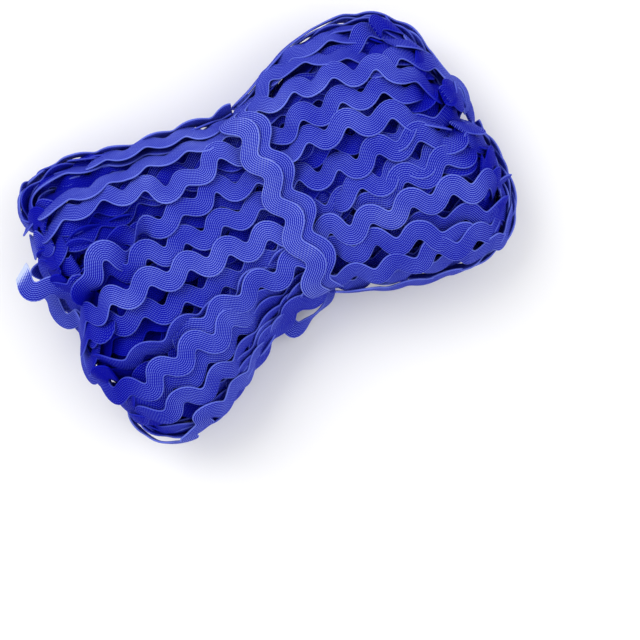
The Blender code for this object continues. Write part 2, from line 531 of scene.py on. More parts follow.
def rest_on(
    bed: Bed, line: Route, out: Array, along: Array, how: Laying
) -> tuple[Array, Array]:
    """Works out how a strand comes to rest on the bed.

    Args:
        bed: What has been laid so far.
        line: The strand's stations.
        out: The outward direction at each.
        along: The distance along the braid at each.
        how: How it settles.

    Returns:
        The slope of the band across itself and the height by which it is lifted.
    """
    side = np.cross(line.tangent(), out)
    middle, half = BRAID.centre(along), BRAID.half(along)
    # The height of the bed under five places across the band, which lies along their slope
    offsets = np.stack([middle + half * k for k in (-1.0, -0.5, 0.0, 0.5, 1.0)], axis=1)
    lowest = how.floor - how.search_below
    columns = (line.points + side * offset[:, None] for offset in offsets.T)
    heights = np.stack([bed.heights(base, out, how.reach, lowest) for base in columns], axis=1)
    slope = (heights[:, 4] + heights[:, 3] - heights[:, 0] - heights[:, 1]) / (3.0 * half)
    rng = np.random.default_rng(how.seed)
    wander = soften(rng.normal(0.0, 1.0, (len(along), 2)), how.sway_reach)
    sway = wander * how.sway_size * how.unrest
    slope = soften(np.clip(slope, -how.tilt_limit, how.tilt_limit), how.tilt_blur) + how.lean
    slope = slope + how.sway_tilt * sway[:, 0]
    needed = (heights - slope[:, None] * offsets).max(axis=1)
    needed = np.maximum(needed, how.floor + how.sway_lift * sway[:, 1])
    lift = soften(highest_near(needed, 2), how.drape)
    for _ in range(2):
        lift = soften(np.maximum(lift, needed), how.drape / 2)
    lift = lift + BRAID.thickness / 2 + how.clearance
    # Pressed down where it would stand proud, most on the flanks, and kept off the ground
    rise = out[:, 2]
    most = how.most * (0.3 + 0.7 * np.abs(rise))
    over_ground = (line.points[:, 2] - LOWEST) / np.maximum(-rise, 0.05)
    most = np.where(rise < -0.05, np.minimum(most, over_ground), most)
    return slope, np.minimum(lift, soften(most, how.drape))


def lay_strand(
    bed: Bed,
    route: Route,
    start: float,
    tone_and_shading: float,
    how: Laying = Laying(),
    twists: Sequence[Twist] = (),
) -> Strand:
    """Lays a strand along a route, on top of what is there, and adds it to the bed.

    Args:
        bed: What has been laid so far.
        route: The line that it follows, before it is lifted.
        start: The distance along the braid at the route's start, which sets its waves.
        tone_and_shading: Where this strand lies between the darkest and lightest yarn, from 0 to 1,
            which holds its tone and, for leading strands, painted shade where they lie deep and painted
            light where they lie on top.
        how: How it settles.
        twists: Turns about its own line, each at a share of its length.

    Returns:
        The laid strand.
    """
    line = route.even(BRAID.step)
    forward = line.tangent()
    out = square_to(line.facing, forward)
    side = np.cross(forward, out)
    along = start + BRAID.step * np.arange(len(line.points))
    slope, lift = rest_on(bed, line, out, along, how)
    turn = np.zeros(len(along))
    length = along[-1] - along[0]
    for twist in twists:
        away = ((along - along[0]) / length - twist.at) * length / twist.spread
        turn += math.pi * twist.turns * smooth_step(away, -1.0, 1.0) * 2
        lift = lift + twist.raise_by * np.exp(-(away**2))
    tilted = np.arctan(slope) + turn
    # A face that looks down lies level where it is near the ground
    low = smooth_step(line.points[:, 2], 2.0, 12.0)
    tilted = tilted * np.where(out[:, 2] < 0, low, 1.0)
    points = line.points + out * lift[:, None]
    c, s = np.cos(tilted)[:, None], np.sin(tilted)[:, None]
    band = side * c + out * s
    hang = np.abs(band[:, 2]) * (BRAID.swing + BRAID.half_band) + LOWEST
    points[:, 2] += soften(np.maximum(hang - points[:, 2], 0.0), 1.0)
    strand = Strand(points, band, out * c - side * s, along, tone_and_shading)
    bed.add(*strand.proxy())
    return strand


# Geometry nodes


def add_node(
    tree: bpy.types.NodeTree, kind: str, feed: dict[Any, Any] | None = None, **settings: Any
) -> bpy.types.Node:
    """Adds a node with its settings, and links or sets its inputs.

    Args:
        tree: The node tree.
        kind: The node's type.
        feed: Input name or number to an output socket or a value.
        **settings: The node's own properties.

    Returns:
        The new node.
    """
    node = tree.nodes.new(kind)
    for name, value in settings.items():
        setattr(node, name, value)
    for key, value in (feed or {}).items():
        if isinstance(value, bpy.types.NodeSocket):
            tree.links.new(value, node.inputs[key])
        else:
            node.inputs[key].default_value = value
    return node


def maths(tree: bpy.types.NodeTree, operation: str, *values: Any) -> bpy.types.NodeSocket:
    """Adds one sum on numbers and gives its output."""
    kind = "ShaderNodeMath"
    return add_node(tree, kind, dict(enumerate(values)), operation=operation).outputs[0]


class BraidTree:
    """The geometry nodes that sweep the serpentine band along laid paths."""

    INPUTS = (
        ("Wave Length", "NodeSocketFloat", BRAID.wave_length * MM),
        ("Wave Swing", "NodeSocketFloat", BRAID.swing * MM),
        ("Half Band", "NodeSocketFloat", BRAID.half_band * MM),
        ("Roundness", "NodeSocketFloat", BRAID.roundness * MM),
        ("Thickness", "NodeSocketFloat", BRAID.thickness * MM),
        ("Spread", "NodeSocketFloat", -0.22),
        ("Profile Points", "NodeSocketInt", 14),
        ("Material", "NodeSocketMaterial", None),
    )
    # How square the band's section is across and through it, and how much its edges thicken
    SQUARE_ACROSS = 0.8
    SQUARE_THROUGH = 0.5
    EDGE_BEAD = 0.16

    def __init__(self, form: WoundForm) -> None:
        """Builds the tree.

        Args:
            form: The hank's form, by which deep strands are made darker as painted shade.
        """
        self.form = form
        self.tree = bpy.data.node_groups.new("Braid Along Paths", "GeometryNodeTree")
        interface = self.tree.interface
        interface.new_socket("Paths", in_out="INPUT", socket_type="NodeSocketGeometry")
        self.sockets: dict[str, str] = {}
        for name, kind, value in self.INPUTS:
            socket = interface.new_socket(name, in_out="INPUT", socket_type=kind)
            if value is not None:
                socket.default_value = value
            self.sockets[name] = socket.identifier
        interface.new_socket("Braid", in_out="OUTPUT", socket_type="NodeSocketGeometry")
        self._build()

    def _build(self) -> None:
        """Wires the sweep, the band's section and wave, and the finish together."""
        group = add_node(self.tree, "NodeGroupInput").outputs
        braid = self._sweep(group)
        place, flat = self._place(group)
        mapping = {"data_type": "FLOAT2", "domain": "CORNER"}
        steps = (
            ("GeometryNodeSetPosition", {"Position": place}, {}),
            ("GeometryNodeStoreNamedAttribute", {"Name": "UVMap", "Value": flat}, mapping),
            ("GeometryNodeSetShadeSmooth", {}, {}),
            ("GeometryNodeRealizeInstances", {}, {}),
            ("GeometryNodeSetMaterial", {"Material": group["Material"]}, {}),
        )
        for kind, feed, settings in steps:
            braid = add_node(self.tree, kind, {0: braid, **feed}, **settings).outputs[0]
        add_node(self.tree, "NodeGroupOutput", {0: braid})

    def _sweep(self, group: Any) -> bpy.types.NodeSocket:
        """Sweeps a ring, which knows its place round the section, along the paths.

        Args:
            group: The tree's inputs.

        Returns:
            The swept mesh.
        """
        tree = self.tree
        kind = "GeometryNodeCurvePrimitiveCircle"
        circle = add_node(tree, kind, {"Resolution": group["Profile Points"]}).outputs["Curve"]
        profile = add_node(
            tree,
            "GeometryNodeStoreNamedAttribute",
            {
                "Geometry": circle,
                "Name": "around",
                "Value": add_node(tree, "GeometryNodeSplineParameter").outputs["Factor"],
            },
            data_type="FLOAT",
            domain="POINT",
        ).outputs[0]
        paths = add_node(tree, "GeometryNodeMeshToCurve", {0: group["Paths"]}).outputs[0]
        feed = {"Curve": paths, "Profile Curve": profile, "Fill Caps": True}
        return add_node(tree, "GeometryNodeCurveToMesh", feed).outputs[0]

    def _place(self, group: Any) -> tuple[bpy.types.NodeSocket, bpy.types.NodeSocket]:
        """Works out where each point of the band goes, and its place on the flat braid.

        Args:
            group: The tree's inputs.

        Returns:
            The point's position and its UV.
        """
        tree = self.tree
        turn = 2 * math.pi
        side, face = self._named("side", "FLOAT_VECTOR"), self._named("face", "FLOAT_VECTOR")
        waves = maths(tree, "DIVIDE", self._named("along", "FLOAT"), group["Wave Length"])
        phase = maths(tree, "MULTIPLY", waves, turn)
        middle = maths(tree, "MULTIPLY", maths(tree, "SINE", phase), group["Wave Swing"])
        double = maths(tree, "COSINE", maths(tree, "MULTIPLY", phase, 2.0))
        half = maths(tree, "MULTIPLY_ADD", double, group["Roundness"], group["Half Band"])
        angle = maths(tree, "MULTIPLY", self._named("around", "FLOAT"), turn)
        across = self._squared(maths(tree, "COSINE", angle), self.SQUARE_ACROSS)
        up = self._squared(maths(tree, "SINE", angle), self.SQUARE_THROUGH)
        edge = maths(tree, "POWER", maths(tree, "ABSOLUTE", across), 6.0)
        crown = maths(tree, "MULTIPLY_ADD", edge, self.EDGE_BEAD, 1 - self.EDGE_BEAD)
        half_thick = maths(tree, "MULTIPLY", group["Thickness"], 0.5)
        lift = maths(tree, "MULTIPLY", up, maths(tree, "MULTIPLY", half_thick, crown))
        sideways = maths(tree, "MULTIPLY_ADD", across, half, middle)
        # On the slopes between bulges, the section is turned part of the way square to the wave
        slope = maths(tree, "MULTIPLY", maths(tree, "COSINE", phase), group["Spread"])
        shift = maths(tree, "MULTIPLY", maths(tree, "MULTIPLY", across, half), slope)
        ahead = self._vector("CROSS_PRODUCT", face, side)
        spot = self._vector("SCALE", side, sideways)
        spot = self._vector("ADD", spot, self._vector("SCALE", ahead, shift))
        spot = self._vector("ADD", self._named("centre", "FLOAT_VECTOR"), spot)
        place = self._vector("ADD", spot, self._vector("SCALE", face, lift))
        over = maths(tree, "MULTIPLY_ADD", across, 0.5, 0.5)
        return place, add_node(tree, "ShaderNodeCombineXYZ", {"X": waves, "Y": over}).outputs[0]

    def _named(self, name: str, data_type: str) -> bpy.types.NodeSocket:
        """Reads one attribute of the laid paths."""
        kind = "GeometryNodeInputNamedAttribute"
        return add_node(self.tree, kind, {"Name": name}, data_type=data_type).outputs[0]

    def _squared(self, value: bpy.types.NodeSocket, power: float) -> bpy.types.NodeSocket:
        """A sine or cosine pushed towards a square wave, which rounds a bar's corners."""
        size = maths(self.tree, "POWER", maths(self.tree, "ABSOLUTE", value), power)
        return maths(self.tree, "MULTIPLY", maths(self.tree, "SIGN", value), size)

    def _vector(self, operation: str, first: Any, second: Any) -> bpy.types.NodeSocket:
        """One sum on vectors.

        Args:
            operation: The sum.
            first: A vector.
            second: A vector, or the number to scale by.

        Returns:
            The result.
        """
        key = "Scale" if operation == "SCALE" else 1
        kind = "ShaderNodeVectorMath"
        return add_node(self.tree, kind, {0: first, key: second}, operation=operation).outputs[0]

    def weave(
        self, name: str, strands: Sequence[Strand], material: bpy.types.Material
    ) -> bpy.types.Object:
        """Makes one plain mesh object from laid strands, the deeper ones darker with painted shade.

        Args:
            name: The object's name.
            strands: The strands in it.
            material: Their finish.

        Returns:
            The object, at the origin.
        """
        mesh = bpy.data.meshes.new(name + " paths")
        points = np.concatenate([s.points for s in strands]) * MM
        edges, first = [], 0
        for strand in strands:
            last = first + len(strand.points)
            edges.extend((i, i + 1) for i in range(first, last - 1))
            first = last
        mesh.from_pydata(points.tolist(), edges, [])
        # Painted shade: each point's level is lowered the deeper it lies inside the form
        tones_and_shading = [s.tone_and_shading - PAINTED_SHADE_PER_MM * self.form.depth(s.points) for s in strands]
        rows = (
            ("centre", "FLOAT_VECTOR", "vector", points),
            ("side", "FLOAT_VECTOR", "vector", np.concatenate([s.side for s in strands])),
            ("face", "FLOAT_VECTOR", "vector", np.concatenate([s.face for s in strands])),
            ("along", "FLOAT", "value", np.concatenate([s.along for s in strands]) * MM),
            ("tone_and_shading", "FLOAT", "value", np.concatenate(tones_and_shading)),
        )
        for key, kind, part, values in rows:
            data = mesh.attributes.new(key, kind, "POINT").data
            data.foreach_set(part, values.astype(np.float32).ravel())
        paths = add_object(mesh)
        modifier = paths.modifiers.new("Braid", "NODES")
        modifier.node_group = self.tree
        modifier[self.sockets["Material"]] = material
        graph = bpy.context.evaluated_depsgraph_get()
        graph.update()
        woven = bpy.data.meshes.new_from_object(paths.evaluated_get(graph), depsgraph=graph)
        woven.name = name
        bpy.data.objects.remove(paths, do_unlink=True)
        for key in ("around", "centre", "side", "face", "along"):
            spare = woven.attributes.get(key)
            if spare is not None:
                woven.attributes.remove(spare)
        face_outwards(woven)
        LOG.info("%s: %d strands, %d triangles", name, len(strands), triangles(woven))
        return add_object(woven)


def add_object(mesh: bpy.types.Mesh) -> bpy.types.Object:
    """Puts a mesh in the scene, at the origin, under its own name.

    Args:
        mesh: The mesh.

    Returns:
        The new object.
    """
    item = bpy.data.objects.new(mesh.name, mesh)
    bpy.context.scene.collection.objects.link(item)
    return item


def face_outwards(mesh: bpy.types.Mesh) -> None:
    """Turns every face of a closed mesh outwards.

    Args:
        mesh: The mesh, which is changed.
    """
    work = bmesh.new()
    work.from_mesh(mesh)
    bmesh.ops.recalc_face_normals(work, faces=work.faces)
    work.to_mesh(mesh)
    work.free()


def triangles(mesh: bpy.types.Mesh) -> int:
    """How many triangles a mesh has."""
    return sum(len(p.vertices) - 2 for p in mesh.polygons)


# Finishes


def colour(code: str) -> tuple[float, float, float, float]:
    """A screen colour, written as six hex digits, in linear light.

    Args:
        code: The six digits.

    Returns:
        Red, green, blue and 1.
    """
    values = [int(code[k : k + 2], 16) / 255 for k in (0, 2, 4)]
    linear = [v / 12.92 if v <= 0.04045 else ((v + 0.055) / 1.055) ** 2.4 for v in values]
    return (*linear, 1.0)


def new_material(
    name: str, roughness: float, specular: float = 0.5
) -> tuple[bpy.types.Material, bpy.types.Node]:
    """Starts a material.

    Args:
        name: What it is.
        roughness: The shader's roughness, the same all over.
        specular: The shader's specular level, the same all over.

    Returns:
        The material and its shader node.
    """
    material = bpy.data.materials.new(name)
    material.use_nodes = True
    shader = material.node_tree.nodes["Principled BSDF"]
    shader.inputs["Roughness"].default_value = roughness
    shader.inputs["Specular IOR Level"].default_value = specular
    return material, shader


def add_ramp(
    tree: bpy.types.NodeTree, level: bpy.types.NodeSocket, stops: Sequence[tuple[float, str]]
) -> bpy.types.NodeSocket:
    """Adds a colour ramp.

    Args:
        tree: The node tree.
        level: What it reads.
        stops: A place and a colour for each stop, rising.

    Returns:
        Its colour.
    """
    ramp = add_node(tree, "ShaderNodeValToRGB", {"Fac": level})
    elements = ramp.color_ramp.elements
    elements[0].position, elements[1].position = stops[0][0], stops[-1][0]
    for place, _ in stops[1:-1]:
        elements.new(place)
    for element, (_, code) in zip(elements, stops):
        element.color = colour(code)
    return ramp.outputs["Color"]


@dataclass(frozen=True)
class BraidFinish:
    """Polyester ric rac: yarns plaited into lengthwise ribs, with a firmer cord at each edge.

    It is drawn on the flat braid, whose U counts waves along it and whose V runs from edge to
    edge. One height serves the bump and the colour: the colour is painted shade, darkest in the
    grooves, and painted highlight, lightest on the ribs' crests and the edge cords. Ribs and
    stitches are numbers of ribs across and of stitches in a wave, and the depths are shares of
    the height.
    """

    name: str = "Plaited polyester braid"
    # From the grooves' painted shade through the yarn and the crests' painted highlight to the pale
    # frayed fibres
    shades: tuple[tuple[float, str], ...] = (
        (0.02, "00009C"),
        (0.36, "0C16AC"),
        (0.76, "7080E4"),
        (1.0, "C6D2F6"),
    )
    ribs: float = 10.0
    stitches: float = 20.0
    rib_depth: float = 0.37
    stitch_depth: float = 0.12
    edge_cord: tuple[float, float] = (0.435, 0.48)
    edge_height: float = 0.9
    rib_height: float = 0.18
    height_in_colour: float = 0.72
    strand_contrast: float = 0.32
    cloud_contrast: float = 0.3
    roughness: float = 0.75
    specular: float = 0.06

    def build(self) -> bpy.types.Material:
        """Builds the material's nodes.

        Returns:
            The material.
        """
        material, shader = new_material(self.name, self.roughness, self.specular)
        tree = material.node_tree
        height = self._height(tree)
        relief = {"Height": height, "Distance": self.rib_height * MM, "Strength": 1.0}
        bump = add_node(tree, "ShaderNodeBump", relief)
        tree.links.new(bump.outputs["Normal"], shader.inputs["Normal"])
        # Each strand has its own level, which holds its tone and the painted shade and light given to
        # it, and the dye is a little cloudy
        tone_and_shading = add_node(tree, "ShaderNodeAttribute", attribute_name="tone_and_shading").outputs["Fac"]
        place = add_node(tree, "ShaderNodeTexCoord").outputs["Object"]
        clouds = {"Vector": place, "Scale": 90.0, "Detail": 3.0}
        cloudy = add_node(tree, "ShaderNodeTexNoise", clouds).outputs["Fac"]
        # Painted shade and highlight: the relief's height makes the colour darker in the grooves and
        # lighter on the crests and edge cords
        level = maths(tree, "MULTIPLY", height, self.height_in_colour)
        for source, contrast in ((tone_and_shading, self.strand_contrast), (cloudy, self.cloud_contrast)):
            shade = maths(tree, "MULTIPLY_ADD", source, contrast, -contrast / 2)
            level = maths(tree, "ADD", level, shade)
        tree.links.new(add_ramp(tree, level, self.shades), shader.inputs["Base Color"])
        return material

    def _height(self, tree: bpy.types.NodeTree) -> bpy.types.NodeSocket:
        """The height of the ribs, the stitches and the edge cords, from 0 to 1.

        Args:
            tree: The material's nodes.

        Returns:
            The height.
        """
        turn = 2 * math.pi
        flat = add_node(tree, "ShaderNodeUVMap", uv_map="UVMap")
        parts = add_node(tree, "ShaderNodeSeparateXYZ", {0: flat.outputs[0]})
        waves, across = parts.outputs[0], parts.outputs[1]
        # Every second rib has its stitches half a step on
        rib_place = maths(tree, "MULTIPLY", across, self.ribs)
        rib = maths(tree, "COSINE", maths(tree, "MULTIPLY", rib_place, turn))
        shift = maths(tree, "MULTIPLY", maths(tree, "FLOOR", rib_place), 0.5)
        stitch_place = maths(tree, "MULTIPLY_ADD", waves, self.stitches, shift)
        stitch = maths(tree, "COSINE", maths(tree, "MULTIPLY", stitch_place, turn))
        from_middle = maths(tree, "ABSOLUTE", maths(tree, "SUBTRACT", across, 0.5))
        start, full = self.edge_cord
        edge = add_node(
            tree,
            "ShaderNodeMapRange",
            {"Value": from_middle, "From Min": start, "From Max": full},
            interpolation_type="SMOOTHSTEP",
        ).outputs[0]
        ribbing = maths(tree, "MULTIPLY_ADD", rib, -self.rib_depth, 0.5)
        knots = maths(tree, "MULTIPLY_ADD", stitch, self.stitch_depth, ribbing)
        return maths(tree, "MAXIMUM", knots, maths(tree, "MULTIPLY", edge, self.edge_height))


@dataclass(frozen=True)
class CoreFinish:
    """The inner windings, which only show as deep shade between the outer strands, and are coloured in
    dark blues as painted shade.

    Wavy bands across the hank, on Object coordinates, stand for the strands' backs, with painted shade
    in their hollows and painted light on their tops.
    """

    name: str = "Inner windings"
    deep: str = "0000A0"
    lit: str = "0206B8"
    band_height: float = 0.6
    roughness: float = 0.85
    specular: float = 0.05

    def build(self) -> bpy.types.Material:
        """Builds the material's nodes.

        Returns:
            The material.
        """
        material, shader = new_material(self.name, self.roughness, self.specular)
        tree = material.node_tree
        place = add_node(tree, "ShaderNodeTexCoord").outputs["Object"]
        bands = add_node(
            tree,
            "ShaderNodeTexWave",
            {"Vector": place, "Scale": 55.0, "Distortion": 6.0, "Detail": 2.0},
            wave_type="BANDS",
            bands_direction="Y",
        ).outputs["Fac"]
        # Painted shade: the bands run from the deep blue in their hollows to the lit blue on their tops
        shades = add_ramp(tree, bands, ((0.0, self.deep), (1.0, self.lit)))
        tree.links.new(shades, shader.inputs["Base Color"])
        feed = {"Height": bands, "Distance": self.band_height * MM}
        bump = add_node(tree, "ShaderNodeBump", feed).outputs["Normal"]
        tree.links.new(bump, shader.inputs["Normal"])
        return material


# The windings


@dataclass
class InnerCore:
    """The hidden inner windings, as one closed form that backs the strands."""

    form: WoundForm
    stations: int = 48
    around: int = 40

    def build(self, bed: Bed) -> bpy.types.Object:
        """Makes the core and lays it as the first surface of the bed.

        Args:
            bed: Gets the core's surface.

        Returns:
            The object.
        """
        share = np.sin(np.linspace(-1, 1, self.stations) * math.pi / 2 * 0.995)
        share /= share[-1]
        count = self.around
        angle = np.arange(count) * 2 * math.pi / count
        grid = self.form.point(share[:, None], angle[None, :])
        tips = [grid[0].mean(axis=0), grid[-1].mean(axis=0)]
        points = np.concatenate([grid.reshape(-1, 3), tips])
        first_tip = self.stations * count
        last_ring = first_tip - count
        faces: list[tuple[int, ...]] = []
        for j in range(count):
            k = (j + 1) % count
            for ring in range(0, last_ring, count):
                faces.append((ring + j, ring + k, ring + count + k, ring + count + j))
            faces.append((j, k, first_tip))
            faces.append((last_ring + j, last_ring + k, first_tip + 1))
        bed.add(points, faces)
        mesh = bpy.data.meshes.new("inner_windings")
        mesh.from_pydata((points * MM).tolist(), [], faces)
        face_outwards(mesh)
        mesh.shade_smooth()
        return add_object(mesh)

    def dress(self, item: bpy.types.Object) -> None:
        """Gives the core its finish, which is painted shade."""
        item.data.materials.append(CoreFinish().build())


class Depth(Enum):
    """Which layer of the windings a loop is in: its depth at the left, waist and right."""

    INNER = (11.0, 10.0, 9.5)
    MIDDLE = (6.8, 6.6, 5.4)
    UNDER = (2.6, 3.8, 2.6)


@dataclass(frozen=True)
class Loop:
    """One loop of the winding: its line over the top, as Y at fixed places along the hank."""

    across: tuple[float, ...]
    wave: float
    under: float = 0.0


LOOP_PLACES = (-66.0, -45.0, -20.0, 9.0, 32.0, 52.0, 72.0)


@dataclass
class FaceLoops:
    """The inner loops that pass over the top and underside and turn round both ends.

    The reaches are the hank's, from its middle to an end: the mean one, and the one by which the
    loops' places are drawn. The tail is how many stations of a loop underneath stay on top. The
    spread and the drifts are shares of the half width, over which the loops are set out and by
    which they stray, on top and more underneath. Each wave starts somewhere in wave starts.
    """

    form: WoundForm
    waist: float = 9.0
    mean_reach: float = 68.0
    drawn_reach: float = 70.0
    tail: int = 16
    spread: float = 0.84
    drift: float = 0.05
    under_drift: float = 0.08
    wave_starts: float = 13.7

    def route(self, loop: Loop, depth: Depth, whole: bool) -> Route:
        """The line of one loop, from under the waist round the left end and back.

        Args:
            loop: The loop's table row.
            depth: How far inside the form it runs.
            whole: Whether it passes over the top as well as underneath.

        Returns:
            The route.
        """
        places = np.array(LOOP_PLACES)
        ease = np.linspace(0.0, math.pi / 2, 24)
        body = 1 - self.form.end_depth / self.mean_reach
        ends = body + (1 - body) * np.sin(ease)
        run = np.linspace(-body, body, 90)
        top = np.concatenate([-ends[::-1], run[1:-1], ends])
        x = top * self.drawn_reach
        y = smooth_table(x, places, np.array(loop.across))
        share_across = self.form.across_at(x, y)
        bend = loop.under * (1 - top**2)
        low_angle = self.form.angle_at(np.clip(share_across + bend, -0.97, 0.97))
        over = self._inside(top, self.form.angle_at(share_across), depth)
        under = self._inside(top[::-1], -low_angle[::-1], depth)
        if whole:
            pairs = [np.concatenate([o, u[1:]]) for o, u in zip(over, under)]
            start = len(over[0]) + len(under[0]) // 2
            return Route(*[np.concatenate([p[start:], p[:start]]) for p in pairs])
        tail = self.tail
        pairs = [np.concatenate([o[-tail:], u[1:-1], o[:tail]]) for o, u in zip(over, under)]
        return Route(*pairs)

    def _inside(self, share: Array, angle: Array, depth: Depth) -> tuple[Array, Array]:
        """Points that run some way inside the form, with their facing.

        Args:
            share: Along the form, from -1 to 1.
            angle: Round the section.
            depth: How far inside at the left, the waist and the right.

        Returns:
            The points and the way that they face.
        """
        facing = self.form.normal(share, angle)
        points = self.form.point(share, angle)
        inside = np.interp(points[:, 0], (-30.0, self.waist, 40.0), depth.value)
        return points - facing * inside[:, None], facing

    def filling(self, count: int, seed: int) -> list[Loop]:
        """Loops at even places across the hank, with small differences.

        Args:
            count: How many.
            seed: Fixes their differences.

        Returns:
            The loops.
        """
        rng = np.random.default_rng(seed)
        places = np.array(LOOP_PLACES)
        middle, half = self.form.middle(places), self.form.half_width(places)
        loops = []
        for k in rng.permutation(count):
            base = self.spread * (2 * (k + 0.5) / count - 1)
            share = np.clip(base + rng.normal(0.0, self.drift, len(places)), -0.88, 0.88)
            wave, under = rng.uniform(0, self.wave_starts), rng.normal(0.0, self.under_drift)
            loops.append(Loop(tuple(middle + half * share), wave, under))
        return loops

    def build(self, bed: Bed) -> dict[str, list[Strand]]:
        """Lays the loops in layers, the inner one first.

        Args:
            bed: What is under them.

        Returns:
            The strands of each layer.
        """
        rng = np.random.default_rng(11)
        layers: dict[str, list[Strand]] = {}
        plans = (
            ("inner", self.filling(10, 3), Depth.INNER, True),
            ("middle", self.filling(13, 5), Depth.MIDDLE, True),
            ("under", self.filling(10, 8), Depth.UNDER, False),
        )
        for name, loops, depth, whole in plans:
            layers[name] = []
            for loop in loops:
                how = Laying(unrest=0.6, seed=int(rng.integers(1000)), most=4.0)
                route = self.route(loop, depth, whole)
                strand = lay_strand(bed, route, loop.wave, rng.uniform(0.2, 0.8), how)
                layers[name].append(strand)
        return layers


# The leading strands are drawn in plan on a sheet ruled in tenths of a millimetre or so: one unit
# is 0.104 mm, X runs along the hank from the left and Y down across it.
SHEET_UNIT = 0.10417
SHEET_LEFT = -80.9
SHEET_TOP = 57.9


@dataclass(frozen=True)
class Lead:
    """A strand that shows on the hank's face, drawn from the waist outwards.

    Each place is X, Y on the sheet, with its drop below the form in millimetres and its bank in
    degrees where they aren't the ones before. The crest is the X of one of its upward bulges. It
    banks to the left of its line where outer is 1, and to the right where it is -1. One that is
    over goes on round the end of the hank. Its tint is set low where it lies deep and high where it
    lies on top: painted shade and painted light as well as its tone.
    """

    line: tuple[tuple[float, ...], ...]
    crest: float
    outer: int = 1
    over: bool = False
    tone_and_shading: float = 0.5
    twists: tuple[Twist, ...] = ()
